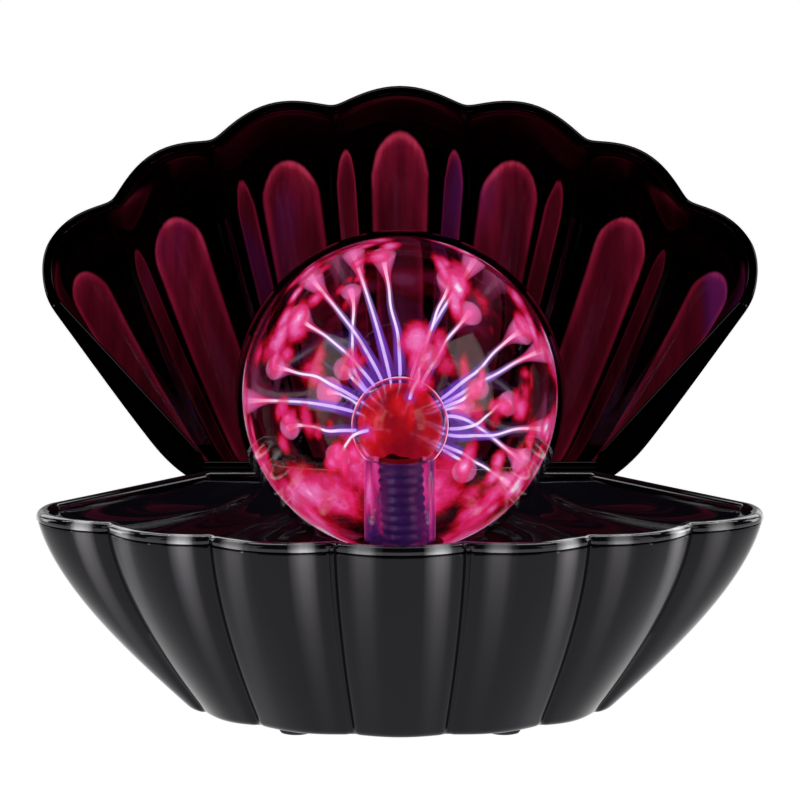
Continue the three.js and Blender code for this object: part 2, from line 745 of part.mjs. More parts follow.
function lidShell() {
  const edgeFans = [0.76, 0.81, 0.86, 0.9, 0.935, 0.965, 0.986, 1];
  const innerFans = fanPositions(rimShape, 6).filter((f) => Math.abs(f) < edgeFans[0] - 0.04);
  const fans = [...edgeFans.map((f) => -f).reverse(), ...innerFans, ...edgeFans];
  const reaches = [0, 0.14, 0.28, 0.42, 0.56, 0.7, 0.81, 0.89, 0.94, 0.97, 0.987, 0.996, 1];
  const half = radians(rimShape.ridges[3]);
  const atRear = (fan) => (rimShape.rear - rimShape.apex) / Math.cos(fan * half);
  const point = (fan, reach, height) => {
    const r = THREE.MathUtils.lerp(atRear(fan), fanRadius(rimShape, fan), reach);
    const p = fanPoint(rimShape, fan, r);
    return new THREE.Vector3(p.x, p.y + axisForward, height + lidSlack);
  };
  const rows = reaches.map((t) => fans.map((f) => point(f, t, lidHeight(f, t))));
  rows.unshift(fans.map((f) => point(f, 0, 0)));
  const columns = fans.length;
  const faces = [];
  for (let r = 0; r < rows.length - 1; r++)
    for (let c = 0; c < columns - 1; c++) {
      const a = r * columns + c;
      faces.push([a, a + columns, a + columns + 1], [a, a + columns + 1, a + 1]);
    }
  const sheet = weld(rows.flat(), faces);
  sheet.computeVertexNormals();
  const at = sheet.attributes.position;
  const normals = sheet.attributes.normal;
  const count = at.count;
  const points = Array.from({ length: count }, (_, i) => new THREE.Vector3().fromBufferAttribute(at, i));
  for (let i = 0; i < count; i++) {
    const n = new THREE.Vector3().fromBufferAttribute(normals, i);
    const edge = points[i].z < lidSlack + 1e-3;
    if (edge) n.setZ(0).normalize();
    const q = points[i].clone().addScaledVector(n, -wall);
    if (edge) q.z = lidSlack;
    points.push(q);
  }
  // the outside, the same faces turned round as the inside, and a band between them along the rim
  const triangles = [];
  const edges = new Map();
  for (let i = 0; i < sheet.index.count; i += 3) {
    const t = [0, 1, 2].map((k) => sheet.index.getX(i + k));
    triangles.push(t, [t[0] + count, t[2] + count, t[1] + count]);
    for (let k = 0; k < 3; k++) edges.set(`${t[k]},${t[(k + 1) % 3]}`, [t[k], t[(k + 1) % 3]]);
  }
  for (const [a, b] of edges.values())
    if (!edges.has(`${b},${a}`)) triangles.push([a, b + count, b], [a, a + count, b + count]);
  return geometryOf(cut(solid(weld(points, triangles)), ...hingeNotches(0, 0)));
}
place("lid_shell", lidShell(), "blackShell", lid);

// Hinges: a centre knuckle on the bowl, a forked pair on the upper valve, and a pin
const knuckleHalf = 3;
const leafHalf = 9;
const pinBore = pinRadius + 0.15;
const pinLength = 18.4;
const leafNear = 0.3; // leaves stand this far behind the axis

function knuckle(x0, x1, y, z) {
  return rod(knuckleRadius, x1 - x0, x0, y, z, "x", 20);
}

function baseHinge(x) {
  const y = -axisForward;
  const barrel = knuckle(x - knuckleHalf, x + knuckleHalf, y, axisZ);
  const [near, far] = [y + leafNear, y + 2.2];
  const arm = block(x - knuckleHalf, x + knuckleHalf, near, far, axisZ - 7, axisZ - 1);
  const leaf = block(x - leafHalf, x + leafHalf, near, far, axisZ - 15, axisZ - 5.6);
  const bore = rod(pinBore, 30, x - 15, y, axisZ, "x", 16);
  return geometryOf(cut(join(barrel, arm, leaf), bore));
}

function lidHinge(x) {
  const forkX = knuckleHalf + 0.4; // inner faces of the fork
  const sides = [
    [x - leafHalf, x - forkX],
    [x + forkX, x + leafHalf],
  ];
  const barrels = sides.map(([x0, x1]) => knuckle(x0, x1, 0, 0));
  const arms = sides.map(([x0, x1]) => block(x0, x1, leafNear, 1.9, 1, 7));
  const leaf = block(x - leafHalf, x + leafHalf, leafNear, 1.9, 5.6, 14);
  const bore = rod(pinBore, 30, x - 15, 0, 0, "x", 16);
  return geometryOf(cut(join(...barrels, ...arms, leaf), bore));
}
["left", "right"].forEach((name, i) => {
  const x = i ? hingeX : -hingeX;
  place(`base_hinge_${name}`, baseHinge(x), "blackInner");
  place(`lid_hinge_${name}`, lidHinge(x), "blackInner", lid);
  const pin = rod(pinRadius, pinLength, x - pinLength / 2, -axisForward, axisZ, "x", 16);
  place(`hinge_pin_${name}`, pin, "brightSteel");
});

// Origin at the centre of the footprint, on the surface that the feet stand on
lamp.updateMatrixWorld(true);
const box = new THREE.Box3().setFromObject(lamp, true);
const centre = box.getCenter(new THREE.Vector3());
lamp.position.set(-centre.x, -centre.y, -box.min.z);

export default lamp;
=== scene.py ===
import json
import math

import bmesh
import bpy
import numpy as np
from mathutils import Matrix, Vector

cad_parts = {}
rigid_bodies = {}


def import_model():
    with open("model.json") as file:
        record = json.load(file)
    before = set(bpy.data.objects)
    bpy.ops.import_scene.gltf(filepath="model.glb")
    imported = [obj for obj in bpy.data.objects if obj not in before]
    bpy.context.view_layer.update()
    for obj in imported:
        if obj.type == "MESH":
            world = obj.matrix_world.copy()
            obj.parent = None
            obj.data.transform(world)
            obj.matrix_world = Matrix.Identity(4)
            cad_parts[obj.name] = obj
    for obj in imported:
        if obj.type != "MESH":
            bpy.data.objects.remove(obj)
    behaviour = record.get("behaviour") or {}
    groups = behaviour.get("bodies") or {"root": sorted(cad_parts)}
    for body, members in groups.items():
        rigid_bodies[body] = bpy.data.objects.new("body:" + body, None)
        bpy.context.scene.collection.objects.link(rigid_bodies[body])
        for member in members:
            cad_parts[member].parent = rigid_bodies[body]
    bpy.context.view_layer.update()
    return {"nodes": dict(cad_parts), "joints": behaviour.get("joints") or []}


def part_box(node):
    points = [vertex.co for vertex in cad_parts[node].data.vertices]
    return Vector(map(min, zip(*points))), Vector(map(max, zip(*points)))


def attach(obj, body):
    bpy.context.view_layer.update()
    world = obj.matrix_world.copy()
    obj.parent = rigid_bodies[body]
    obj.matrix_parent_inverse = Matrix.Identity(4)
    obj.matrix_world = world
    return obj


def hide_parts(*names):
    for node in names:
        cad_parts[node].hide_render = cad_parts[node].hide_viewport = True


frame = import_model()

# Plasma globe lamp in a scallop shell. Shapes are worked out in millimetres in a valve's own frame: the
# straight rear edge lies on X and the fan runs forward along -Y. toRow and toLid carry them to the row frame.
mm = 0.001
joints = {joint["name"]: joint for joint in frame["joints"]}
bowlLow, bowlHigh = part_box("base_bowl")
origin = np.array([0, bowlHigh.y, bowlLow.z]) / mm
hingePoint = np.array(joints["lid_swing"]["pos_m"]) / mm
openAngle = math.radians(123)


def toRow(points):
    return (points + origin) * mm


def toLid(points):
    # the closed upper valve, turned open about the hinge and set on its axis
    c, s = math.cos(-openAngle), math.sin(-openAngle)
    x, y, z = points.T
    return (np.stack([x, y * c - z * s, y * s + z * c], 1) + hingePoint) * mm


# Shader building

class Wire:
    # One shader value or colour. Arithmetic between wires and numbers adds Math nodes.
    def __init__(self, paint, socket):
        self.paint = paint
        self.socket = socket

    def maths(self, operation, *values, clamp=False):
        settings = {"operation": operation, "use_clamp": clamp}
        return self.paint.node("ShaderNodeMath", settings, dict(enumerate(values)))

    def __add__(self, other):
        return self.maths("ADD", self, other)

    def __radd__(self, other):
        return self.maths("ADD", other, self)

    def __sub__(self, other):
        return self.maths("SUBTRACT", self, other)

    def __rsub__(self, other):
        return self.maths("SUBTRACT", other, self)

    def __mul__(self, other):
        return self.maths("MULTIPLY", self, other)

    def __rmul__(self, other):
        return self.maths("MULTIPLY", other, self)

    def __pow__(self, other):
        return self.maths("POWER", self, other)

    def __gt__(self, other):
        return self.maths("GREATER_THAN", self, other)

    def __lt__(self, other):
        return self.maths("LESS_THAN", self, other)

    def clamped(self):
        return self.maths("ADD", self, 0.0, clamp=True)

    def between(self, low, high):
        # 0 below low, 1 above high, smooth between them
        sockets = {"Value": self, "From Min": low, "From Max": high}
        return self.paint.node("ShaderNodeMapRange", {"interpolation_type": "SMOOTHSTEP"}, sockets)


class Paint:
    # A material and the nodes that feed its Principled shader.
    def __init__(self, name):
        self.material = bpy.data.materials.new(name)
        self.material.use_nodes = True
        self.tree = self.material.node_tree
        self.shader = self.tree.nodes["Principled BSDF"]

    def node(self, kind, settings=None, sockets=None, out=0):
        made = self.tree.nodes.new(kind)
        for key, value in (settings or {}).items():
            if key == "stops":
                ramp = made.color_ramp
                while len(ramp.elements) < len(value):
                    ramp.elements.new(1.0)
                for element, (position, colour) in zip(ramp.elements, value):
                    element.position = position
                    element.color = (*colour, 1)
            else:
                setattr(made, key, value)
        for key, value in (sockets or {}).items():
            self.feed(made.inputs[key], value)
        return Wire(self, made.outputs[out])

    def feed(self, socket, value):
        if isinstance(value, Wire):
            self.tree.links.new(value.socket, socket)
        else:
            socket.default_value = value

    def shade(self, sockets):
        for key, value in sockets.items():
            self.feed(self.shader.inputs[key], value)
        return self.material

    def place(self, stretch=(1, 1, 1)):
        coordinates = self.node("ShaderNodeTexCoord", out="Object")
        return self.node("ShaderNodeMapping", None, {"Vector": coordinates, "Scale": stretch})

    def noise(self, scale, detail=3.0, roughness=0.5, stretch=(1, 1, 1)):
        sockets = {"Vector": self.place(stretch), "Scale": scale, "Detail": detail, "Roughness": roughness}
        return self.node("ShaderNodeTexNoise", None, sockets)

    def mark(self, name):
        return self.node("ShaderNodeAttribute", {"attribute_name": name}, out="Fac")

    def mix(self, factor, first, second):
        first, second = [(*c, 1) if isinstance(c, tuple) else c for c in (first, second)]
        return self.node("ShaderNodeMix", {"data_type": "RGBA"}, {0: factor, 6: first, 7: second}, out=2)

    def ramp(self, factor, stops):
        return self.node("ShaderNodeValToRGB", {"stops": stops}, {"Fac": factor})

    def bump(self, height, strength, distance):
        sockets = {"Strength": strength, "Distance": distance, "Height": height}
        return self.node("ShaderNodeBump", None, sockets)


# Finishes

def glossPlastic(name, dark, light, roughness, gloss):
    # polished moulding: cloudy depth of colour, faint ripple, roughness that drifts a little
    paint = Paint(name)
    cloud = paint.noise(24, 4)
    ripple = paint.noise(150, 2)
    return paint.shade({
        "Base Color": paint.mix(cloud, dark, light),
        "Roughness": roughness * (0.7 + 0.6 * paint.noise(60, 5)),
        "Specular IOR Level": gloss,
        "Normal": paint.bump(ripple, 0.06, 0.0004),
    })


def grainPlastic(name, dark, light, roughness, grain=900, depth=0.25):
    # spark-eroded moulding: fine pits and a mottled sheen
    paint = Paint(name)
    pits = paint.node("ShaderNodeTexVoronoi", None, {"Vector": paint.place(), "Scale": grain}, out="Distance")
    cloud = paint.noise(70, 5)
    return paint.shade({
        "Base Color": paint.mix(cloud.between(0.3, 0.7), dark, light),
        "Roughness": roughness - 0.12 + 0.24 * cloud,
        "Normal": paint.bump(pits, depth, 0.0003),
    })


def metal(name, dark, light, roughness, stretch):
    # drawn or brushed metal: long scratches one way, dull patches
    paint = Paint(name)
    lines = paint.noise(500, 3, 0.6, stretch)
    cloud = paint.noise(90, 4)
    return paint.shade({
        "Base Color": paint.mix(lines, dark, light),
        "Metallic": 1.0,
        "Roughness": roughness - 0.08 + 0.2 * lines + 0.1 * cloud,
        "Normal": paint.bump(lines, 0.15, 0.0002),
    })


def clearGlass(name, tint, roughness):
    # blown glass: slow ripples and a trace of smear in the gloss
    paint = Paint(name)
    swirl = paint.noise(18, 3, 0.5, (1, 1, 0.4))
    return paint.shade({
        "Base Color": paint.mix(swirl, (1, 1, 1), tint),
        "Roughness": roughness * swirl,
        "Transmission Weight": 1.0,
        "IOR": 1.45,
        "Normal": paint.bump(swirl, 0.05, 0.0006),
    })


ink = {
    "edge": (0.30, 0.001, 0.006),
    "red": (0.70, 0.004, 0.022),
    "rose": (0.90, 0.030, 0.22),
    "pink": (0.98, 0.20, 0.55),
    "white": (1.0, 0.78, 0.92),
    "violet": (0.26, 0.07, 0.78),
    "lilac": (0.55, 0.30, 0.95),
}


def glowPaint(name, strength, build):
    # light without a surface of its own: colour and alpha come from build
    paint = Paint(name)
    colour, alpha = build(paint)
    return paint.shade({
        "Base Color": (0, 0, 0, 1),
        "Specular IOR Level": 0.0,
        "Roughness": 1.0,
        "Emission Color": colour,
        "Emission Strength": strength,
        "Alpha": alpha,
    })


def facing(paint):
    return paint.node("ShaderNodeLayerWeight", None, {"Blend": 0.5}, out="Facing")


def veilWires(paint):
    ragged = paint.noise(85, 6, 0.62) - 0.5
    clouds = paint.noise(30, 3, 0.55) - 0.5
    rim = facing(paint) ** 6.0
    heat = 0.95 * paint.mark("glow") + 0.95 * ragged + 0.45 * clouds + 0.6 * rim * paint.mark("edge")
    colour = paint.ramp(heat, [(0.34, ink["edge"]), (0.52, ink["red"]), (0.70, ink["rose"]),
                               (0.90, ink["pink"]), (1.12, ink["white"])])
    cover = heat.between(0.32, 0.62) * (0.74 + 0.24 * heat.between(0.5, 0.9)) * paint.mark("body")
    return colour, cover.clamped()


def coreWires(paint):
    along = paint.mark("along")
    colour = paint.ramp(along, [(0, ink["lilac"]), (0.25, ink["white"]), (0.7, ink["white"]),
                                (1, ink["pink"])])
    return colour, (1.0 - facing(paint) ** 3.0) * 0.95


def sheathWires(paint):
    along = paint.mark("along")
    wisps = paint.noise(120, 4, 0.6)
    colour = paint.ramp(along, [(0, ink["violet"]), (0.35, ink["violet"]), (0.6, ink["lilac"]),
                                (0.78, ink["rose"]), (1, ink["pink"])])
    soft = (1.0 - facing(paint)) ** 1.6
    return colour, (soft * paint.mark("body") * (0.35 + 0.9 * wisps)).clamped()


def ballGlowWires(paint):
    edge = facing(paint) ** 4.5
    sparks = paint.noise(160, 4, 0.6)
    heat = edge * (0.9 + 0.5 * sparks) + 0.5 * paint.mark("glow") * (0.2 + sparks)
    colour = paint.ramp(heat, [(0, ink["red"]), (0.3, ink["rose"]), (0.55, ink["pink"]), (0.9, ink["white"])])
    return colour, heat.between(0.12, 0.8)


def stemHighlightWires(paint):
    # painted highlight lines along the glass stem's edges, with faint wisps
    edge = facing(paint) ** 5.0
    wisps = paint.noise(70, 4, 0.6, (1, 1, 0.3))
    colour = paint.ramp(edge, [(0, ink["violet"]), (0.4, ink["rose"]), (0.9, ink["pink"])])
    return colour, (edge * 0.55 + 0.16 * wisps).clamped()


def coatingWires(paint):
    # sooty red lacquer, also painted as glowing with the discharge's light on it: blotches of dark red,
    # violet and scarlet, with a painted pink glow where the streamers start
    blotch = paint.noise(75, 5, 0.6)
    heat = blotch * 0.5 + 0.65 * paint.mark("glow")
    return paint.ramp(heat, [(0.15, (0.16, 0.002, 0.012)), (0.3, (0.38, 0.003, 0.006)),
                             (0.48, (0.55, 0.008, 0.015)), (0.7, (0.75, 0.03, 0.16)), (0.95, ink["pink"])])


def coatingPaint():
    paint = Paint("red coating with painted glow")
    colour = coatingWires(paint)
    return paint.shade({
        "Base Color": colour,
        "Roughness": 0.3 + 0.3 * paint.noise(200, 4),
        # the lacquer's own colour given again as glow: painted light of the discharge
        "Emission Color": colour,
        "Emission Strength": 1.0,
        "Normal": paint.bump(paint.noise(220, 4), 0.3, 0.0004),
    })


def boardPaint():
    # solder mask over copper tracks, with bright pads
    paint = Paint("circuit board")
    black, white = (0, 0, 0, 1), (1, 1, 1, 1)
    bricks = {"Vector": paint.place(), "Scale": 130, "Mortar Size": 0.06, "Color1": black, "Color2": black,
              "Mortar": white}
    tracks = paint.node("ShaderNodeTexBrick", {"offset": 0.5}, bricks, out="Fac")
    cells = {"Vector": paint.place(), "Scale": 210, "Randomness": 0.55}
    pads = paint.node("ShaderNodeTexVoronoi", None, cells, out="Distance") < 0.16
    mask = paint.mix(tracks, (0.012, 0.105, 0.03), (0.03, 0.19, 0.06))
    return paint.shade({
        "Base Color": paint.mix(pads, mask, (0.62, 0.6, 0.56)),
        "Metallic": pads * 0.9,
        "Roughness": 0.45 - 0.12 * pads,
        "Normal": paint.bump(tracks + pads, 0.4, 0.0003),
    })


def windingPaint():
    # varnished wire laid side by side round the bobbin, which lies along X
    paint = Paint("winding")
    turns = paint.node("ShaderNodeTexWave", {"bands_direction": "X", "wave_profile": "SIN"}, {
        "Vector": paint.place(), "Scale": 420, "Distortion": 0.4, "Detail": 2.0})
    return paint.shade({
        "Base Color": paint.mix(turns, (0.16, 0.05, 0.012), (0.72, 0.36, 0.1)),
        "Metallic": 0.35,
        "Roughness": 0.32 + 0.15 * paint.noise(200),
        "Normal": paint.bump(turns, 0.8, 0.0005),
    })


def sleevePaint():
    # shrink sleeve with a pale stripe down one side
    paint = Paint("capacitor sleeve")
    axes = paint.node("ShaderNodeSeparateXYZ", None, {"Vector": paint.place()}, out="X")
    stripe = paint.node("ShaderNodeMath", {"operation": "SINE"}, {0: axes * 900.0}) > 0.8
    return paint.shade({
        "Base Color": paint.mix(stripe, (0.01, 0.02, 0.14), (0.5, 0.52, 0.6)),
        "Roughness": 0.25 + 0.2 * paint.noise(150, 4),
        "Normal": paint.bump(paint.noise(400, 3), 0.2, 0.0002),
    })


def streakedGloss(name, gloss, shine):
    # polished black with the windows' reflections painted on as soft pale streaks down each lobe, where the
    # sheen mark is strong
    paint = Paint(name)
    cloud = paint.noise(24, 4)
    sheen = paint.mark("sheen") * (0.8 + 0.4 * paint.noise(18, 3))
    black = paint.mix(cloud, (0.0042, 0.0036, 0.0066), (0.0075, 0.0066, 0.011))
    return paint.shade({
        "Base Color": paint.mix(sheen.clamped(), black, shine),
        "Roughness": 0.05 + 0.05 * paint.noise(60, 5),
        "Specular IOR Level": gloss,
        "Normal": paint.bump(paint.noise(150, 2), 0.06, 0.0004),
    })


def valvePaint():
    # black gloss with the globe's red glow painted on as a reflection in the valve's channels: streaky
    # tongues, each with a crisp bright head and a body that fades towards the hinge
    paint = Paint("black valve gloss with painted globe reflection")
    tongue, fall = paint.mark("tongue"), paint.mark("fall")
    streak = paint.noise(120, 4, 0.6, (1, 0.14, 0.14))
    cloud = paint.noise(42, 4, 0.6)
    head = 1.0 - tongue.between(0.05, 0.38)
    heat = fall * (0.05 + 0.95 * streak + 0.6 * head * cloud)
    red = paint.ramp(heat, [(0.12, (0.004, 0.0002, 0.0008)), (0.36, (0.045, 0.0016, 0.006)),
                            (0.62, (0.15, 0.005, 0.02)), (0.95, (0.52, 0.035, 0.09))])
    violet = paint.noise(34, 2, 0.5, (1, 0.3, 0.3)).between(0.55, 0.7) * fall
    glow = paint.mix(violet * 0.6, red, (0.035, 0.006, 0.08))
    # painted reflection of the globe, shown only inside the tongues
    shown = paint.mix(tongue.between(0.0, 0.12), (0, 0, 0), glow)
    return paint.shade({
        "Base Color": paint.mix(cloud, (0.0006, 0.0005, 0.0007), (0.0016, 0.0012, 0.0016)),
        "Roughness": 0.07 + 0.06 * paint.noise(60, 5),
        "Specular IOR Level": 0.24,
        "Emission Color": shown,
        "Emission Strength": 1.0,
        "Normal": paint.bump(paint.noise(150, 2), 0.06, 0.0004),
    })


finishes = {
    "shell": glossPlastic("black shell gloss", (0.0035, 0.0032, 0.0052), (0.0065, 0.006, 0.009), 0.075, 0.26),
    # bowl and deck: the last colour is that of the painted window reflections
    "bowl": streakedGloss("black bowl gloss with painted streaks", 0.2, (0.22, 0.205, 0.225)),
    "deck": streakedGloss("black deck gloss with painted streaks", 0.5, (0.8, 0.8, 0.82)),
    "lid": valvePaint(),
    "moulding": grainPlastic("black moulding", (0.006, 0.006, 0.007), (0.016, 0.016, 0.018), 0.42),
    "rubber": grainPlastic("foot rubber", (0.008, 0.008, 0.008), (0.02, 0.02, 0.02), 0.8, 500, 0.5),
    "foam": grainPlastic("foam seal", (0.012, 0.012, 0.014), (0.04, 0.04, 0.044), 0.92, 700, 0.9),
    "ferrite": grainPlastic("ferrite", (0.02, 0.018, 0.02), (0.05, 0.045, 0.05), 0.6, 600, 0.6),
    "wire": grainPlastic("red wire", (0.22, 0.008, 0.008), (0.42, 0.02, 0.02), 0.4, 300, 0.1),
    "glass": clearGlass("globe glass", (0.97, 0.985, 0.99), 0.012),
    "stemGlass": clearGlass("stem glass", (0.98, 0.97, 0.985), 0.03),
    "darkSteel": metal("dark steel", (0.10, 0.10, 0.11), (0.26, 0.25, 0.27), 0.34, (1, 1, 9)),
    "brightSteel": metal("bright steel", (0.45, 0.45, 0.46), (0.72, 0.72, 0.74), 0.28, (1, 7, 1)),
    "aluminium": metal("aluminium", (0.42, 0.43, 0.45), (0.68, 0.69, 0.7), 0.36, (1, 1, 12)),
    "board": boardPaint(),
    "winding": windingPaint(),
    "sleeve": sleevePaint(),
    "coating": coatingPaint(),
    "veil": glowPaint("plasma veil", 1.0, veilWires),
    "core": glowPaint("plasma core", 1.25, coreWires),
    "sheath": glowPaint("plasma sheath", 1.0, sheathWires),
    "ballGlow": glowPaint("ball glow", 1.1, ballGlowWires),
    "stemHighlight": glowPaint("stem painted highlight", 0.8, stemHighlightWires),
}
print("finishes:", len(finishes))


# Meshes from numpy grids

def gridFaces(rows, columns, joinRows=False, joinColumns=False):
    # quads between neighbouring rows and columns of a grid, by index arithmetic
    r = np.arange(rows if joinRows else rows - 1)[:, None]
    c = np.arange(columns if joinColumns else columns - 1)[None, :]
    nextR, nextC = (r + 1) % rows, (c + 1) % columns
    here, below = r * columns, nextR * columns
    corners = np.broadcast_arrays(here + c, here + nextC, below + nextC, below + c)
    return np.stack(corners, -1).reshape(-1, 4)


def enclosed(points, faces):
    # six times the signed volume inside a set of quads
    a, b, c, d = (points[faces[:, k]] for k in range(4))
    return np.einsum("ij,ij->", a, np.cross(b, c)) + np.einsum("ij,ij->", a, np.cross(c, d))


def shadeByAngle(mesh, degrees):
    mesh.polygons.foreach_set("use_smooth", np.ones(len(mesh.polygons), bool))
    mesh.set_sharp_from_angle(angle=math.radians(degrees))


def merged(mesh, distance):
    # the mesh as a cleaner, with points closer than the distance joined
    cleaner = bmesh.new()
    cleaner.from_mesh(mesh)
    bmesh.ops.remove_doubles(cleaner, verts=cleaner.verts, dist=distance)
    return cleaner


def addClosed(name, points, faces, place, marks=None):
    # an object whose faces point outwards, from quads on a grid of points
    points = place(np.asarray(points, float).reshape(-1, 3))
    if enclosed(points, faces) < 0:
        faces = faces[:, ::-1]
    mesh = bpy.data.meshes.new(name)
    mesh.from_pydata(points.tolist(), [], faces.tolist())
    for key, values in (marks or {}).items():
        layer = mesh.attributes.new(key, "FLOAT", "POINT")
        layer.data.foreach_set("value", np.asarray(values, np.float32).ravel())
    cleaner = merged(mesh, 2e-6)
    cleaner.to_mesh(mesh)
    cleaner.free()
    made = bpy.data.objects.new(name, mesh)
    bpy.context.scene.collection.objects.link(made)
    return made


def makePiece(name, points, faces, finish, slot, body="base", nodes=(), marks=None, place=toRow, sharp=40):
    # a closed mesh in the row frame that rides on a body and stands for CAD nodes
    piece = addClosed(name, points, faces, place, marks)
    shadeByAngle(piece.data, sharp)
    piece.data.materials.append(finishes[finish])
    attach(piece, body)
    if nodes:
        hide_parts(*nodes)
    return piece


def applyModifiers(piece, sharp=40):
    bpy.context.view_layer.update()
    shaped = bpy.data.meshes.new_from_object(piece.evaluated_get(bpy.context.evaluated_depsgraph_get()))
    piece.modifiers.clear()
    piece.data = shaped
    shadeByAngle(shaped, sharp)


def carve(piece, tools, sharp=40):
    for tool in tools:
        change = piece.modifiers.new("cut", "BOOLEAN")
        change.operation = "DIFFERENCE"
        change.solver = "EXACT"
        change.object = tool
    applyModifiers(piece, sharp)
    for tool in tools:
        bpy.data.objects.remove(tool)


def roundedCorners(corners, radii, steps=5):
    # a closed 2-D profile whose corners are quarter-like arcs: each corner becomes a quadratic curve
    # between points a radius away along its two sides
    made = []
    count = len(corners)
    for i, radius in enumerate(radii):
        before, here, after = (np.array(corners[(i + k) % count], float) for k in (-1, 0, 1))
        start = here + (before - here) / max(np.linalg.norm(before - here), 1e-9) * radius
        end = here + (after - here) / max(np.linalg.norm(after - here), 1e-9) * radius
        t = np.linspace(0, 1, steps if radius > 0 else 1)[:, None]
        made.append((1 - t) ** 2 * start + 2 * t * (1 - t) * here + t * t * end if radius > 0 else here[None])
    return np.concatenate(made)


def turnedGrid(profile, centre, sides):
    # a profile of radius and height carried round a vertical axis
    turn = np.linspace(0, 2 * np.pi, sides, endpoint=False)
    r, z = np.asarray(profile, float).T
    x = centre[0] + r[:, None] * np.cos(turn)
    y = centre[1] + r[:, None] * np.sin(turn)
    return np.stack([x, y, np.broadcast_to(z[:, None], x.shape)], -1)


def turnedPiece(name, profile, centre, sides, finish, slot, closed=True, **rest):
    grid = turnedGrid(profile, centre, sides)
    return makePiece(name, grid, gridFaces(len(profile), sides, closed, True), finish, slot, **rest)


def tubeGrid(path, radius, sides, reference):
    # rings across a path, each square to its tangent, with a fixed reference to stop them twisting
    tangent = np.gradient(path, axis=0)
    tangent /= np.linalg.norm(tangent, axis=1)[:, None]
    side = np.cross(tangent, reference)
    side /= np.linalg.norm(side, axis=1)[:, None]
    up = np.cross(side, tangent)
    turn = np.linspace(0, 2 * np.pi, sides, endpoint=False)
    ring = side[:, None] * np.cos(turn)[None, :, None] + up[:, None] * np.sin(turn)[None, :, None]
    return path[:, None] + ring * np.asarray(radius)[:, None, None]


# The scallop outline, shared by both valves

fanCurve = {
    "cusp": 0.16,
    "rim": {"apex": -71, "centre": -11.3, "radius": 135.3, "bulge": 4.8, "ridges": (6.06, 17.74, 29.0, 40.6),
            "rear": 0, "share": 0.105, "corner": 11},
    "bottom": {"apex": -64, "centre": 42, "radius": 66.5, "bulge": 2.8, "ridges": (4.8, 15.3, 23.4, 28.2),
               "rear": 12, "share": 0.16, "corner": 12},
}
rim, bottom = fanCurve["rim"], fanCurve["bottom"]
halfFan = math.radians(rim["ridges"][3])


def lobe(t):
    # 0 on the ridges at t = 0 and 1, 1 in the middle, with a rounded cusp
    s, cusp = np.sin(np.pi * t), fanCurve["cusp"]
    return (np.sqrt(s * s + cusp * cusp) - cusp) / (math.sqrt(1 + cusp * cusp) - cusp)


def lobePosition(shape, fan):
    # how far a fan position lies between its two ridges
    k0, k1, k2, k3 = shape["ridges"]
    a = np.abs(fan) * k3
    inner = np.where(a < k0, 0.5 + 0.5 * a / k0, (a - k0) / (k1 - k0))
    return np.where(a < k1, inner, np.where(a < k2, (a - k1) / (k2 - k1), (a - k2) / (k3 - k2)))


def fanRadius(shape, fan):
    # distance from the apex to the edge: a circle, plus the lobes, less the rounding of the tips
    a = np.radians(np.abs(fan) * shape["ridges"][3])
    offset = shape["centre"] - shape["apex"]
    circle = offset * np.cos(a) + np.sqrt(shape["radius"] ** 2 - (offset * np.sin(a)) ** 2)
    past = np.clip((np.abs(fan) - 1 + shape["share"]) / shape["share"], 0, 1)
    tip = shape["corner"] * (1 - np.sqrt(1 - past * past))
    return circle + shape["bulge"] * lobe(lobePosition(shape, fan)) - tip


def fanPoint(shape, fan, r):
    a = np.radians(fan * shape["ridges"][3])
    return np.stack([r * np.sin(a), -(shape["apex"] + r * np.cos(a))], -1)


def fanPositions(shape, perLobe, gather=0.75):
    k0, k1, k2, k3 = np.array(shape["ridges"]) / shape["ridges"][3]
    t = np.arange(perLobe) / perLobe
    t = t - gather * np.sin(2 * np.pi * t) / (2 * np.pi)  # closer together towards the ridges
    half = 2 * t[perLobe // 2:] - 1
    last = k2 + (1 - k2) * np.sin(np.pi / 2 * np.arange(perLobe + 1) / perLobe)
    right = np.concatenate([k0 * half, k0 + (k1 - k0) * t, k1 + (k2 - k1) * t, last])
    return np.concatenate([-right[:0:-1], right])


def outline(shape, perLobe, perSide, perRear, groove=0.0, grooveWidth=1.1):
    # the whole edge, anticlockwise from above: lobed front, side, rear, side, with a narrow groove
    # along each ridge between two lobes
    fans = fanPositions(shape, perLobe)
    r = fanRadius(shape, fans)
    away = np.abs(np.abs(fans)[:, None] * shape["ridges"][3] - np.array(shape["ridges"][:3])).min(1)
    r = r - groove * np.exp(-(np.radians(away) * r / grooveWidth) ** 2)
    front = fanPoint(shape, fans, r)
    widest = math.radians(shape["ridges"][3])
    corner = np.array([(shape["rear"] - shape["apex"]) * math.tan(widest), -shape["rear"]])
    tip = front[-1]
    t = (np.arange(1, perSide) / perSide)[:, None]
    right = tip + (corner - tip) * t
    rearX = corner[0] * (1 - 2 * np.arange(perRear + 1) / perRear)
    rear = np.stack([rearX, np.full_like(rearX, corner[1])], 1)
    left = right[::-1] * [-1, 1]
    return np.concatenate([front, right, rear, left])


def inset(loop, distance):
    # a loop moved inwards along each corner's bisector
    before = loop - np.roll(loop, 1, 0)
    after = np.roll(loop, -1, 0) - loop
    before /= np.linalg.norm(before, axis=1)[:, None]
    after /= np.linalg.norm(after, axis=1)[:, None]
    n = np.stack([-before[:, 1] - after[:, 1], before[:, 0] + after[:, 0]], 1)
    n /= np.linalg.norm(n, axis=1)[:, None]
    stretch = 1 / np.clip(n[:, 1] * before[:, 0] - n[:, 0] * before[:, 1], 0.7, 1)
    return loop + n * (distance * stretch)[:, None]


def ringAt(loop, z):
    return np.column_stack([loop, np.broadcast_to(z, len(loop))])


# Lower valve

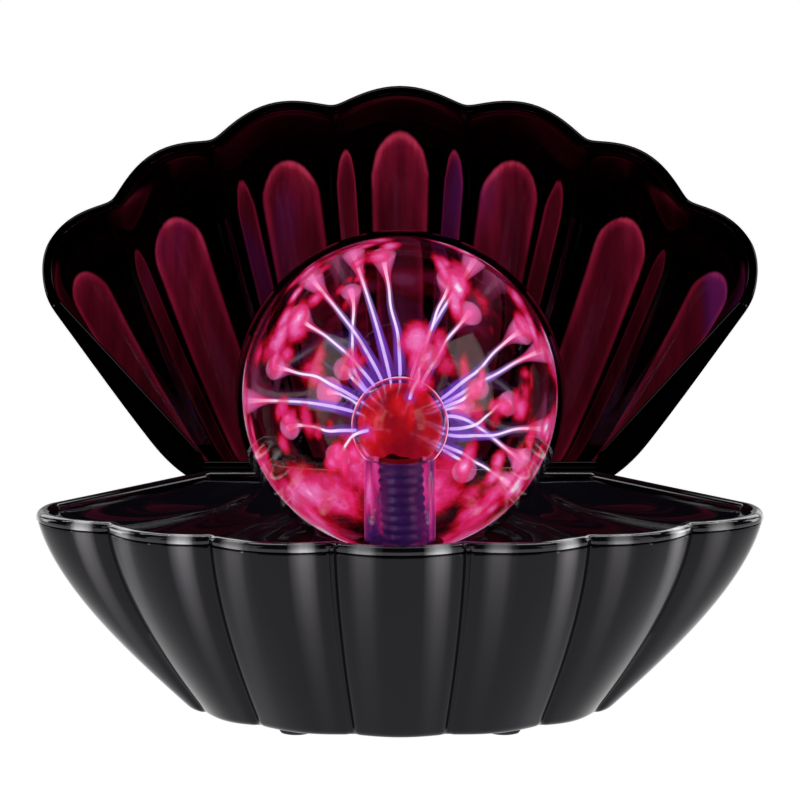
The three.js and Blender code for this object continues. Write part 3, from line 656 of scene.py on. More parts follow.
bowl = {
    "rimZ": 62.0, "wall": 2.4, "lip": 2.8, "gap": 0.3, "curve": 1.55, "groove": 1.1,
    "opening": (33.0, -84.0, -30.0),  # half width, front and rear of the service opening
    "window": (25.3, 13.7, 31.3),  # half width and heights of the rear panel's window
    "perLobe": 30, "perSide": 22, "perRear": 44, "levels": 44,
}
rimZ = bowl["rimZ"]
tuck = 0.13  # how far the smooth outline stays inside the CAD one, whose sides are chords
rimLoop = inset(outline(rim, bowl["perLobe"], bowl["perSide"], bowl["perRear"], bowl["groove"]), tuck)
bottomLoop = outline(bottom, bowl["perLobe"], bowl["perSide"], bowl["perRear"], bowl["groove"])
hingeX, notchRadius, notchLength = 30.0, 3.1, 19.2


def bowlLoop(z):
    share = ((rimZ - z) / rimZ) ** bowl["curve"]
    return rimLoop + (bottomLoop - rimLoop) * share


def openingLoop(grow=0.0, square=24.0):
    # a rectangle with small rounded corners, met along the ray to each point of the outline
    halfX, frontY, rearY = bowl["opening"]
    middle = np.array([0, (frontY + rearY) / 2])
    ray = bottomLoop - middle
    reach = ((np.abs(ray[:, 0]) / (halfX + grow)) ** square
             + (np.abs(ray[:, 1]) / ((rearY - frontY) / 2 + grow)) ** square) ** (-1 / square)
    return middle + ray * reach[:, None]


def notchTools(place, y, z):
    turn = np.linspace(0, 2 * np.pi, 40, endpoint=False)
    ring = np.stack([np.cos(turn) * notchRadius + y, np.sin(turn) * notchRadius + z], 1)
    tools = []
    for side in (-1, 1):
        ends = [side * hingeX - notchLength / 2, side * hingeX + notchLength / 2]
        rows = [np.column_stack([np.full(40, x), ring * scale + np.array([y, z]) * (1 - scale)])
                for x, scale in ((ends[0], 0), (ends[0], 1), (ends[1], 1), (ends[1], 0))]
        tools.append(addClosed("notch", rows, gridFaces(4, 40, False, True), place))
    return tools


def boxTool(x0, x1, y0, y1, z0, z1):
    plan = ((x0, y0), (x1, y0), (x1, y1), (x0, y1))
    corners = [(x, y, z) for z in (z0, z1) for x, y in plan]
    faces = np.concatenate([gridFaces(2, 4, False, True), [[3, 2, 1, 0], [4, 5, 6, 7]]])
    return addClosed("box", corners, faces, toRow)


def paintedWindowStreaks():
    # how strong the painted window reflections are at each column of the outline: on every lobe a bright
    # streak to one side of the middle and a fainter one to the other
    fans = fanPositions(rim, bowl["perLobe"])
    t = lobePosition(rim, fans) - 0.5
    inMiddle = np.abs(fans) * rim["ridges"][3] < rim["ridges"][0]
    across = np.where(inMiddle | (fans > 0), np.where(fans < 0, -t, t), -t)
    streaks = [(0.29, 0.075, 0.95), (-0.27, 0.085, 0.42)]  # middle, half width, strength
    streak = sum(strong * np.exp(-((across - middle) / half) ** 4) for middle, half, strong in streaks)
    return np.concatenate([streak, np.zeros(len(rimLoop) - len(streak))])


def makeBowl():
    top = rimZ - bowl["lip"] - bowl["gap"]
    wall = bowl["wall"]
    edge = 0.45  # rounding of the wall's top edges
    rings = [ringAt(openingLoop(), wall), ringAt(openingLoop(), 0.0)]
    foot = 1.6  # rounding round the bowl's bottom edge
    across = inset(bottomLoop, foot) - openingLoop()
    rings += [ringAt(openingLoop() + across * t, 0.0) for t in (0.35, 0.7, 1.0)]
    for a in np.linspace(0.2, 1, 5) * np.pi / 2:
        z = foot * (1 - math.cos(a))
        rings.append(ringAt(inset(bowlLoop(z), foot * (1 - math.sin(a))), z))
    rings += [ringAt(bowlLoop(z), z) for z in np.linspace(2.2, top - edge, bowl["levels"])]
    rings += [ringAt(inset(bowlLoop(top), 0.15), top - 0.12), ringAt(inset(bowlLoop(top), edge), top)]
    rings += [ringAt(inset(bowlLoop(top), wall - edge), top), ringAt(inset(bowlLoop(top), wall), top - edge)]
    rings += [ringAt(inset(bowlLoop(z), wall), z) for z in np.linspace(top - 2, wall + 2.5, 20)]
    rings.append(ringAt(inset(bowlLoop(wall), wall + 1.2), wall + 0.7))
    rings.append(ringAt(inset(bowlLoop(wall), wall + 3), wall))
    rings = np.array(rings)
    # painted window reflections down the outside of the bowl, strongest just under the rim and fading
    # downwards
    depth = (top - rings[..., 2]) / top
    outside = np.arange(len(rings)) < 10 + bowl["levels"]
    sheen = paintedWindowStreaks()[None, :] * np.exp(-depth / 0.26) * (depth >= 0) * outside[:, None]
    piece = makePiece("bowl_shell", rings, gridFaces(len(rings), len(rimLoop), True, True), "bowl",
                      "black_shell", nodes=["base_bowl"], marks={"sheen": sheen}, sharp=50)
    halfX, low, high = bowl["window"]
    carve(piece, [boxTool(-halfX, halfX, -30, 10, low, high), *notchTools(toRow, 0.4, rimZ + 0.2)], 50)
    return piece


makeBowl()
print("bowl shell made")


# Deck: a rolled lip round a fluted dish, with a round seat for the globe

deck = {
    "lipWidth": 4.6, "depth": 11.0, "seat": 10.6, "seatEdge": (52.0, 37.0), "hole": 34.4, "thick": 2.2,
    "flute": 3.2, "rings": 56, "under": 3.9,
}
globeForward = 64.0
globeAxis = np.array([0.0, -globeForward])


def smooth(low, high, value):
    t = np.clip((value - low) / (high - low), 0, 1)
    return t * t * (3 - 2 * t)


def fanAndReach(points):
    # the fan position of each point, and its share of the way from the dish's rear edge to its front
    shift = deck["under"] / math.cos(halfFan)
    fan = np.zeros(len(points))
    for _ in range(4):
        fan = np.clip(np.arctan2(points[:, 0] + fan * shift, -points[:, 1] - rim["apex"]) / halfFan, -1, 1)
    x = points[:, 0] + fan * shift
    r = np.hypot(x, -points[:, 1] - rim["apex"])
    rear = (rim["rear"] + deck["under"] - rim["apex"]) / np.cos(fan * halfFan)
    front = fanRadius(rim, fan) - deck["under"]
    return fan, np.clip((r - rear) / (front - rear), 0, 1)


def deckDrop(points):
    # depth below the rim: a dish closed on all sides, flutes along the fan, and a flat round seat
    fan, reach = fanAndReach(points)
    front = (1 - reach ** 3.2) ** (1 / 1.6)
    side = (1 - np.abs(fan) ** 2.6) ** (1 / 1.6)
    rear = np.sqrt(smooth(0, 0.3, reach))
    flute = deck["flute"] * (lobe(lobePosition(rim, fan)) - 0.5) * np.minimum(1, 1.6 * front * side)
    dish = 2 + ((deck["depth"] - 2) * front * side + flute * smooth(0, 0.2, front * side)) * rear
    distance = np.hypot(*(points - globeAxis).T)
    seat = smooth(*deck["seatEdge"], distance)
    return dish + (deck["seat"] - dish) * seat


def makeDeck():
    width = deck["lipWidth"]
    low = rimZ - bowl["lip"]
    turn = np.linspace(0, np.pi, 15)
    rings = [ringAt(inset(rimLoop, 0.35), low), ringAt(rimLoop, low + 0.3)]
    for a in turn:
        rings.append(ringAt(inset(rimLoop, width / 2 * (1 - math.cos(a))), rimZ - 1.75 * (1 - math.sin(a))))
    edge = inset(rimLoop, width)
    towards = edge - globeAxis
    hole = globeAxis + towards / np.linalg.norm(towards, axis=1)[:, None] * deck["hole"]
    shares = (1 - np.cos(np.linspace(0, np.pi, deck["rings"]))) / 2
    loops = [edge + (hole - edge) * t for t in shares]
    rings += [ringAt(loop, rimZ - deckDrop(loop)) for loop in loops]
    inner = inset(rimLoop, width - 0.9)
    inward = [inner + (hole - inner) * t for t in shares[::-4]]
    rings += [ringAt(loop, rimZ - deckDrop(loop) - deck["thick"]) for loop in inward]
    rings += [ringAt(inset(rimLoop, width - 0.9), low)]
    # painted window reflections on the lip's outer face, up to near the top of its roll
    lipFace = (np.arange(len(rings)) < 9) * 1.0
    sheen = paintedWindowStreaks()[None, :] * lipFace[:, None]
    piece = makePiece("deck_dish", np.array(rings), gridFaces(len(rings), len(rimLoop), True, True), "deck",
                      "black_shell", nodes=["deck_tray"], marks={"sheen": sheen}, sharp=50)
    carve(piece, notchTools(toRow, 0.4, rimZ + 0.2), 50)
    return piece


makeDeck()
print("deck made")


# Upper valve

valve = {
    "rearDepth": 24.0, "domeTop": 71.0, "domeForward": 22.4, "domeFall": 0.0044, "rearRound": 50.0,
    "ray": 129.0, "clear": 0.5, "channel": 1.2, "channelGrowth": 2.6,
    "frontPower": 44, "sidePower": 10, "edgePower": 1.8,
    "wall": 2.4, "bead": 0.8, "round": 1.3, "slack": 0.1, "tuck": 0.25,
    "perLobe": 30, "rows": 52, "edgeRows": 30, "rearRows": 9,
}


def lidHeight(fan, reach):
    # height over the rim: a steep wall at the edge, then a dome that is deepest towards the hinge, with
    # seven channels along the fan
    front = (1 - reach ** valve["frontPower"]) ** (1 / valve["edgePower"])
    side = (1 - np.abs(fan) ** valve["sidePower"]) ** (1 / valve["edgePower"])
    forward = reach * valve["ray"]
    dome = valve["domeTop"] - valve["domeFall"] * (forward - valve["domeForward"]) ** 2
    rise = np.sin(np.pi / 2 * np.minimum(1, forward / valve["rearRound"]))
    floor = valve["rearDepth"] + (dome - valve["rearDepth"]) * rise
    channel = (valve["channel"] + valve["channelGrowth"] * reach) * lobe(lobePosition(rim, fan))
    return (floor + channel) * front * side


reflectionTongues = [  # painted reflection of the globe in the channels: degrees along the fan, half width, top as a reach, brightness
    (0, 3.1, 0.975, 1.0), (10.8, 3.2, 0.95, 0.95), (23.3, 3.2, 0.928, 0.95), (34.3, 2.7, 0.945, 0.95),
    (5.45, 0.75, 0.965, 0.85), (15.9, 0.95, 0.95, 0.7), (28.2, 0.7, 0.93, 0.55),
]


def reflectionTongueMarks(fan, reach):
    # how far inside a tongue of painted reflection a point is, 0 on its outline, and how bright that tongue
    # is there
    degrees = np.abs(fan) * rim["ridges"][3]
    deepest, fall = np.full(fan.shape, -0.6), np.zeros(fan.shape)
    headLength, fading = 0.075, 2.4
    for middle, half, top, bright in reflectionTongues:
        below = (top - reach) / headLength
        width = half * (1 + 0.025 * below) + 1e-6
        inside = 1 - np.hypot((degrees - middle) / width, np.maximum(0, 1 - below))
        better = inside > deepest
        deepest = np.where(better, inside, deepest)
        fall = np.where(better, bright * (0.5 + 0.5 * np.exp(-np.maximum(0, below) / fading)), fall)
    return deepest, fall


def towardsEdge(start, power, count):
    # positions from start to 1, evenly spaced in the height that they give a wall of that power
    v = np.linspace((1 - start ** power) ** (1 / valve["edgePower"]), 0, count)
    return (1 - v ** valve["edgePower"]) ** (1 / power)


def makeValve():
    positions = fanPositions(rim, valve["perLobe"])
    k2 = rim["ridges"][2] / rim["ridges"][3]
    last = np.concatenate([np.linspace(k2, 0.93, 26)[:-1], towardsEdge(0.93, valve["sidePower"], 22)])
    middle = positions[np.abs(positions) < k2 - 1e-9]
    fans = np.concatenate([-last[::-1], middle, last])
    reaches = np.concatenate([np.linspace(0, 0.9, valve["rows"])[:-1],
                              towardsEdge(0.9, valve["frontPower"], valve["edgeRows"])])
    fan, reach = np.meshgrid(fans, reaches)
    rear = (rim["rear"] - rim["apex"]) / np.cos(fan * halfFan)
    r = rear + (fanRadius(rim, fan) - rear) * reach
    flat = fanPoint(rim, fan, r)
    height = lidHeight(fan, reach)
    lift = valve["slack"] + valve["round"]
    scale = 1 - (valve["round"] + valve["clear"]) / valve["domeTop"]
    outer = np.dstack([flat[..., 0], flat[..., 1] - 0.4, lift + height * scale])
    shares = np.linspace(0, 1, valve["rearRows"], endpoint=False)[:, None, None]
    foot = outer[:1] * [1, 1, 0] + [0, 0, lift]
    outer = np.concatenate([foot + (outer[:1] - foot) * shares, outer])
    deepest, fall = reflectionTongueMarks(fan, reach)
    pad = ((valve["rearRows"], 0), (0, 0))
    deepest, fall = np.pad(deepest, pad, constant_values=-0.6).ravel(), np.pad(fall, pad).ravel()

    along, across = np.gradient(outer, axis=0), np.gradient(outer, axis=1)
    normal = np.cross(along, across)
    normal *= np.sign(normal[len(normal) // 2, normal.shape[1] // 2, 2])
    onEdge = outer[..., 2] < lift + 1e-6
    away = outer - np.array([0, -60, 0])
    weak = np.linalg.norm(normal, axis=2) < 1e-9
    normal[weak] = away[weak]
    normal[onEdge] *= [1, 1, 0]
    normal /= np.maximum(np.linalg.norm(normal, axis=2), 1e-9)[..., None]
    outer = outer - normal * valve["tuck"]
    thick = valve["wall"] + valve["bead"] * np.exp(-((outer[..., 2] - lift) / 3.0) ** 2)
    thick = np.where(forwardShare(outer) < 0.02, valve["wall"], thick)
    inner = outer - normal * thick[..., None]
    inner[..., 2] = np.maximum(inner[..., 2], lift)
    inner[onEdge, 2] = lift

    rows, columns = outer.shape[:2]
    index = np.arange(rows * columns).reshape(rows, columns)
    loop = np.concatenate([index[:-1, 0], index[-1, :-1], index[:0:-1, -1], index[0, :0:-1]])
    flatOuter, flatInner = outer.reshape(-1, 3)[loop], inner.reshape(-1, 3)[loop]
    middleLine, halfWidth = (flatOuter + flatInner) / 2, (flatOuter - flatInner) / 2
    turn = np.linspace(0, np.pi, 9)[1:-1, None, None]
    bead = middleLine + halfWidth * np.cos(turn) - np.array([0, 0, 1]) * valve["round"] * np.sin(turn)
    count = rows * columns
    points = np.concatenate([outer.reshape(-1, 3), inner.reshape(-1, 3), bead.reshape(-1, 3)])
    beadRows = 2 * count + np.arange(len(turn) * len(loop)).reshape(len(turn), -1)
    strip = np.concatenate([loop[None], beadRows, loop[None] + count])
    a, b = strip[:-1], strip[1:]
    rimFaces = np.stack([a, np.roll(a, -1, 1), np.roll(b, -1, 1), b], -1).reshape(-1, 4)
    sheet = gridFaces(rows, columns)
    if np.linalg.norm(points[sheet[0, 0]] - points[0]) < 1e-9:
        rimFaces = rimFaces[:, ::-1]
    faces = np.concatenate([sheet, sheet[:, ::-1] + count, rimFaces])
    beadCount = len(points) - 2 * count
    # the painted reflection of the globe goes on the inner sheet only
    marks = {"tongue": np.concatenate([np.full(count, -0.6), deepest, np.full(beadCount, -0.6)]),
             "fall": np.concatenate([np.zeros(count), fall, np.zeros(beadCount)])}
    piece = makePiece("upper_shell", points, faces, "lid", "black_shell", body="lid", nodes=["lid_shell"],
                      marks=marks, place=toLid, sharp=55)
    carve(piece, notchTools(toLid, 0.0, 0.0), 55)
    return piece


def forwardShare(points):
    # rough share of the way forward, used to keep the rear wall thin
    return np.clip(-points[..., 1] / 130, 0, 1)


makeValve()
print("upper valve made")


# Globe, electrode and stem

globe = {"radius": 50.0, "wall": 1.6, "centreZ": rimZ + 35, "neck": 15.5, "neckBottom": rimZ - 25,
         "ball": 14.5, "ballDrop": 9.5, "ballWall": 1.3, "tube": 10.5, "collarTop": rimZ - 9}
ballZ = globe["centreZ"] - globe["ballDrop"]
gap = bowl["gap"]


def arc(radius, centreZ, start, end, count):
    a = np.linspace(start, end, count)
    return np.stack([radius * np.cos(a), centreZ + radius * np.sin(a)], 1)


def vesselProfile(radius, wall, centreZ, stem, stemBottom, count):
    # outer sphere from the stem to the pole and the inner one back, with a smooth shoulder at the stem
    outer = arc(radius, centreZ, -math.acos(stem / radius), np.pi / 2, count)
    innerR, innerStem = radius - wall, stem - wall
    inner = arc(innerR, centreZ, np.pi / 2, -math.acos(innerStem / innerR), count)
    outer[-1, 0] = inner[0, 0] = 0
    low = np.array([[innerStem, stemBottom + 0.4], [innerStem + 0.4, stemBottom], [stem - 0.4, stemBottom],
                    [stem, stemBottom + 0.4]])
    riser = np.linspace(stemBottom + 2, outer[0, 1] - 0.6, 12)
    innerRiser = np.linspace(inner[-1, 1] - 0.6, stemBottom + 2, 12)
    return np.concatenate([inner, np.stack([np.full(12, innerStem), innerRiser], 1), low,
                           np.stack([np.full(12, stem), riser], 1), outer])


turnedPiece("globe_bulb", vesselProfile(globe["radius"], globe["wall"], globe["centreZ"], globe["neck"],
                                        globe["neckBottom"], 64), globeAxis, 128, "glass", "clear_glass",
            closed=False, nodes=["globe_glass"], sharp=60)
turnedPiece("electrode_bulb", vesselProfile(globe["ball"], globe["ballWall"], ballZ, globe["tube"],
                                            globe["neckBottom"] - 2, 36), globeAxis, 72, "stemGlass",
            "clear_glass", closed=False, nodes=["electrode_glass"], sharp=60)

streams = [  # start on the ball and end on the globe, azimuth and elevation, then spread and brightness
    (-150, 66, -139, 62, 13, 0.8), (-82, 68, -72, 53, 15, 0.95), (180, 86, -22, 73, 14, 1.0),
    (108, 76, 97, 61, 14, 0.95), (100, 72, 36, 56, 17, 1.0), (90, 33, 64, 29, 17, 1.0),
    (91, 27, 78, 19, 15, 0.95), (75, 24, 31, 11, 11, 0.95), (84, -3, 44, 4, 13, 0.9),
    (82, -10, 71, -10, 13, 0.9), (79, -23, 52, -29, 15, 0.95), (79, -28, 26, -20, 14, 0.9),
    (-40, 2, -24, -14, 14, 1.0), (-62, -1, -45, -5, 13, 0.95), (-87, 17, -82, -1, 15, 1.0),
    (-90, 32, -56, 16, 14, 1.0), (-73, 57, -54, 36, 16, 1.0), (-74, 45, -22, 19, 12, 0.85),
    (15, 42, 11, 24, 15, 0.9), (-120, 40, -157, 34, 11, 0.85), (150, 40, 150, 24, 16, 0.7),
    (160, -5, 155, -14, 16, 0.7), (-150, 5, -152, -8, 17, 0.75), (120, 5, 112, -30, 16, 0.8),
]
patches = [  # bright places with no streamer: azimuth, elevation, spread, brightness
    (-28, -27, 10, 0.85), (-48, -50, 15, 0.65), (48, -52, 15, 0.6), (180, -50, 22, 0.6), (-120, -45, 18, 0.6),
    (120, -45, 18, 0.6), (52, 10, 7, 0.7), (-64, -20, 8, 0.6), (86, -16, 10, 0.75), (-90, -28, 11, 0.7),
]


def direction(azimuth, elevation):
    a, e = np.radians(azimuth), np.radians(elevation)
    return np.stack([np.sin(a) * np.cos(e), -np.cos(a) * np.cos(e), np.sin(e)], -1)


def spots(unit, places, seed):
    # brightness at each direction: each spot is a clump of soft blobs, taller than they are wide
    draw = np.random.default_rng(seed)
    total = np.zeros(len(unit))
    for azimuth, elevation, spread, strength in places:
        middle = direction(azimuth, elevation)
        side = np.cross(middle, [0.1, 0.2, 1.0])
        side /= np.linalg.norm(side)
        up = np.cross(side, middle)
        facingIt = unit @ middle > 0
        x, y = np.degrees(unit @ side), np.degrees(unit @ up)
        for _ in range(6):
            offX, offY = draw.normal(0, 0.5 * spread, 2)
            wide, tall = spread * draw.uniform(0.3, 0.75), spread * draw.uniform(0.5, 1.15)
            near = ((x - offX) / wide) ** 2 + ((y - 1.2 * offY) / tall) ** 2
            blob = strength * draw.uniform(0.6, 1.0) * np.exp(-near)
            total = np.maximum(total, np.where(facingIt, blob, 0))
    return total


ballStarts = [(s[0], s[1], 15, 0.6 * s[5]) for s in streams]
flareEnds = [(s[2], s[3], 0.62 * s[4], s[5]) for s in streams]


def unitFrom(points, centreZ):
    away = points.reshape(-1, 3) - np.array([0, -globeForward, centreZ])
    return away / np.linalg.norm(away, axis=1)[:, None]


def makeVeil():
    # a film of light just inside the globe, open only in its alpha
    radius = globe["radius"] - globe["wall"] - 0.6
    neckAngle = -math.degrees(math.acos((globe["neck"] - globe["wall"] - 0.5) / radius))
    top = arc(radius, globe["centreZ"], math.radians(neckAngle), np.pi / 2, 150)
    top[-1, 0] = 0
    grid = turnedGrid(top, globeAxis, 300)
    unit = unitFrom(grid, globe["centreZ"])
    heat = spots(unit, flareEnds, 11)
    heat = np.maximum(heat, spots(unit, patches, 12))
    height = unit[:, 2]
    fog = 0.36 * smooth(-0.3, -0.85, height) * (0.5 + 0.5 * smooth(-0.6, 0.8, unit[:, 1]))
    edge = 0.55 + 0.45 * smooth(0.75, 0.2, height)
    body = 0.95 - 0.35 * smooth(-0.3, -0.8, height) * smooth(0.2, -0.7, unit[:, 1])
    marks = {"glow": np.clip(heat + fog, 0, 1.1), "edge": edge, "body": body}
    return makePiece("plasma_veil", grid, gridFaces(150, 300, False, True), "veil", "clear_glass",
                     marks=marks, sharp=180)


def streamPath(start, end, count, bend, draw):
    # a cubic curve that leaves the ball squarely and meets the glass squarely, with a slight wander
    ballCentre = np.array([0, -globeForward, ballZ])
    globeCentre = np.array([0, -globeForward, globe["centreZ"]])
    leave, arrive = direction(*start), direction(*end)
    p0 = ballCentre + leave * (globe["ball"] + 0.1)
    p3 = globeCentre + arrive * (globe["radius"] - globe["wall"] - 0.9)
    span = np.linalg.norm(p3 - p0)
    p1 = p0 + leave * span * bend
    p2 = p3 - arrive * span * 0.3
    t = np.linspace(0, 1, count)[:, None]
    curve = (1 - t) ** 3 * p0 + 3 * t * (1 - t) ** 2 * p1 + 3 * t * t * (1 - t) * p2 + t ** 3 * p3
    sway = np.cross(leave + 0.01, arrive)
    sway /= max(np.linalg.norm(sway), 1e-6)
    phase = draw.uniform(0, 2 * np.pi, 2)
    wander = np.sin(2 * np.pi * t * 1.3 + phase[0]) * 0.35 + np.sin(2 * np.pi * t * 2.6 + phase[1]) * 0.22
    return curve + sway * wander * np.sin(np.pi * t) ** 0.8 * 0.9, sway


def makeStreams():
    # bright threads and the wide soft sheaths round them, one closed tube for each streamer
    draw = np.random.default_rng(5)
    count, sides = 56, 14
    t = np.linspace(0, 1, count)
    pinch = np.sqrt(np.clip(np.minimum(t, 1 - t) / 0.012, 0, 1))
    sets = {"plasma_cores": [], "plasma_sheaths": []}
    for start0, start1, end0, end1, spread, strength in streams:
        path, sway = streamPath((start0, start1), (end0, end1), count, 0.36, draw)
        reference = sway + 0.02
        thread = (0.52 - 0.16 * smooth(0.1, 0.6, t) + 0.9 * t ** 9) * pinch
        cloud = (0.8 + 1.6 * (1 - t) ** 1.8 + 0.24 * spread * smooth(0.6, 1, t) ** 2.6) * pinch
        sets["plasma_cores"].append(tubeGrid(path, thread, sides, reference))
        sets["plasma_sheaths"].append(tubeGrid(path, cloud, sides, reference))
    fade = 0.62 * (0.35 + 0.65 * smooth(0, 0.25, t)) * (1 - 0.35 * smooth(0.3, 0.55, t))
    fade = fade + 0.55 * smooth(0.62, 0.9, t)
    one = gridFaces(count, sides, False, True)
    steps = np.arange(len(streams))[:, None, None] * count * sides
    faces = (one[None] + steps).reshape(-1, 4)
    for name, finish in (("plasma_cores", "core"), ("plasma_sheaths", "sheath")):
        marks = {"along": np.tile(np.repeat(t, sides), len(streams)),
                 "body": np.tile(np.repeat(fade, sides), len(streams))}
        makePiece(name, np.array(sets[name]), faces, finish, "clear_glass", marks=marks, sharp=180)


def makeCoating():
    # red lacquer inside the ball, with an uneven lower edge
    radius = globe["ball"] - globe["ballWall"] - gap
    turn = np.linspace(0, 2 * np.pi, 120, endpoint=False)
    low = -0.60 + 0.05 * np.sin(3 * turn + 0.6) + 0.035 * np.sin(7 * turn + 1.1) + 0.02 * np.sin(13 * turn)
    lowAngle = np.arcsin(low)
    share = np.linspace(0, 1, 60)[:, None]
    angle = lowAngle + (np.pi / 2 - lowAngle) * share
    shell = [np.stack([r * np.cos(angle) * np.cos(turn), -globeForward + r * np.cos(angle) * np.sin(turn),
                       ballZ + r * np.sin(angle)], -1) for r in (radius, radius - 0.8)]
    grid = np.concatenate([shell[0], shell[1][::-1]])
    heat = spots(unitFrom(grid, ballZ), ballStarts, 3)
    return makePiece("coating_cap", grid, gridFaces(120, 120, True, True), "coating", "red_coating",
                     nodes=["electrode_coating"], marks={"glow": heat}, sharp=70)


def makeBallGlow():
    radius = globe["ball"] + 0.25
    lowAngle = -math.acos((globe["tube"] + 0.4) / radius)
    top = arc(radius, ballZ, lowAngle, np.pi / 2, 70)
    top[-1, 0] = 0
    grid = turnedGrid(top, globeAxis, 110)
    heat = spots(unitFrom(grid, ballZ), [(a, e, 8, 0.8 * s) for a, e, _, s in ballStarts], 4)
    makePiece("ball_glow", grid, gridFaces(70, 110, False, True), "ballGlow", "clear_glass",
              marks={"glow": heat}, sharp=180)
    joinZ = ballZ + radius * math.sin(lowAngle)
    # a thin shell round the glass stem that paints highlight lines along its edges
    side = np.stack([np.full(30, globe["tube"] + 0.35), np.linspace(joinZ, globe["collarTop"] - 1, 30)], 1)
    turnedPiece("stem_highlight", side, globeAxis, 90, "stemHighlight", "clear_glass", closed=False, sharp=180)


def makeSleeve():
    # a corrugated sleeve, ridges like a coarse thread, leaning a little to one side
    sleeveTop, pitch, turns, lean = ballZ - 9.3, 2.9, 12, math.radians(3.0)
    root, ridge, boreRadius = 6.3, 0.66, 5.0
    length = pitch * turns
    sides, rows = 72, turns * 10 + 1
    turn = np.linspace(0, 2 * np.pi, sides, endpoint=False)
    depth = np.linspace(0, length, rows)[:, None]
    phase = depth / pitch
    wave = (0.5 - 0.5 * np.cos(2 * np.pi * phase)) ** 0.6
    out = root + ridge * wave + 0.10 * np.sin(3 * turn + phase * 1.7) * wave
    tilt = 0.22 * np.sin(turn + 0.7)
    outer, bore = [np.stack([r * np.cos(turn), r * np.sin(turn), -depth - tilt * np.ones_like(r)], -1)
                   for r in (out, np.full_like(out, boreRadius))]
    grid = np.concatenate([outer, bore[::-8]])
    x, z = grid[..., 0].copy(), grid[..., 2].copy()
    grid[..., 0] = x * math.cos(lean) - z * math.sin(lean)
    grid[..., 2] = x * math.sin(lean) + z * math.cos(lean)
    grid += [0, -globeForward, sleeveTop - 0.4]
    return makePiece("ridged_sleeve", grid, gridFaces(len(grid), sides, True, True), "darkSteel",
                     "dark_steel", nodes=["contact_coil"], sharp=80)


makeVeil()
makeStreams()
makeCoating()
makeBallGlow()
makeSleeve()

collarTop = globe["collarTop"]
collarBore = 22.0
collarCorners = [(collarBore, collarTop - 8), (39, collarTop - 8), (39, collarTop - 4.1),
                 (34, collarTop - 4.1), (34, collarTop), (26.2, collarTop), (collarBore, collarTop - 2.4)]
collarRadii = [0.5, 0.5, 0.5, 0, 1.4, 1.2, 0.6]
turnedPiece("collar_ring", roundedCorners(collarCorners, collarRadii, 6), globeAxis, 140, "shell",
            "black_plastic", nodes=["globe_collar"])


def makeRing(name, node, inside, outside, low, high, radius, finish, slot):
    # a ring round the globe's axis, its section a rectangle with rounded corners
    corners = [(inside, low), (outside, low), (outside, high), (inside, high)]
    turnedPiece(name, roundedCorners(corners, [radius] * 4), globeAxis, 80, finish, slot, nodes=[node])


neckBottom = globe["neckBottom"]
makeRing("stem_plug", "neck_plug", globe["tube"] + gap, globe["neck"] - globe["wall"] - gap, neckBottom + 1,
         neckBottom + 9, 0.6, "moulding", "black_plastic")
makeRing("seal_ring", "globe_gasket", globe["neck"] + gap, collarBore - gap, collarTop - 8, collarTop - 4.2,
         0.9, "foam", "foam")
print("globe and plasma made")


# Feet, screws and moulded parts

footPlaces = [(-31.5, -93), (31.5, -93), (-33, -21), (33, -21)]
footProfile = [(0, -gap), (3.2, -gap), (4.6, -gap), (5.0, -0.6), (4.95, -1.1), (4.5, -1.65), (3.6, -1.9),
               (2.4, -1.9), (1.9, -1.55), (0, -1.5)]
for number, place in enumerate(footPlaces, 1):
    turnedPiece(f"foot_pad_{number}", footProfile, place, 48, "rubber", "rubber", closed=False,
                nodes=[f"foot_{number}"])


def crossScrew(name, node, finish, slot):
    # a pan head with a cross recess: the recess lowers the head where a point lies near either arm
    low, high = (np.array(v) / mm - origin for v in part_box(node))
    centre = (low[:2] + high[:2]) / 2
    radius = (high[0] - low[0]) / 2
    headDown = node.startswith("cover")
    top, tip = (low[2], high[2]) if headDown else (high[2], low[2])
    up = 1 if top > tip else -1
    shank = 1.3 if headDown else 0.85
    turn = np.linspace(0, 2 * np.pi, 64, endpoint=False)
    rings = np.concatenate([np.linspace(0.02, 0.86, 16), [0.93, 0.98, 1.0]]) * radius
    x, y = rings[:, None] * np.cos(turn), rings[:, None] * np.sin(turn)
    dome = 0.5 * (rings / radius)[:, None] ** 4 * np.ones_like(x)
    arm = np.minimum(np.abs(x), np.abs(y))
    reach = np.maximum(np.abs(x), np.abs(y))
    recess = 0.62 * smooth(0.2 * radius, 0.1 * radius, arm) * smooth(0.68 * radius, 0.5 * radius, reach)
    head = np.dstack([centre[0] + x, centre[1] + y, top - up * (dome + recess)])
    under = [(radius, 0.98), (shank, 0.98)]
    length = abs(top - tip)
    thread = np.linspace(1.2, length - 0.8, 40)
    threadR = shank - 0.16 + 0.16 * np.abs(np.sin(thread * np.pi / 0.7))
    below = under + list(zip(threadR, thread)) + [(shank * 0.5, length), (0.01, length)]
    side = turnedGrid([(r, top - up * d) for r, d in below], centre, 64)
    grid = np.concatenate([head, side])
    cap = head[:1] * 0 + np.array([*centre, top - up * 0.62])
    faces = gridFaces(len(grid) + 1, 64, False, True)
    return makePiece(name, np.concatenate([cap, grid]), faces, finish, slot, nodes=[node])


for number in range(1, 5):
    crossScrew(f"cover_screw_head_{number}", f"cover_screw_{number}", "darkSteel", "dark_steel")
    crossScrew(f"board_screw_head_{number}", f"board_screw_{number}", "brightSteel", "bright_steel")


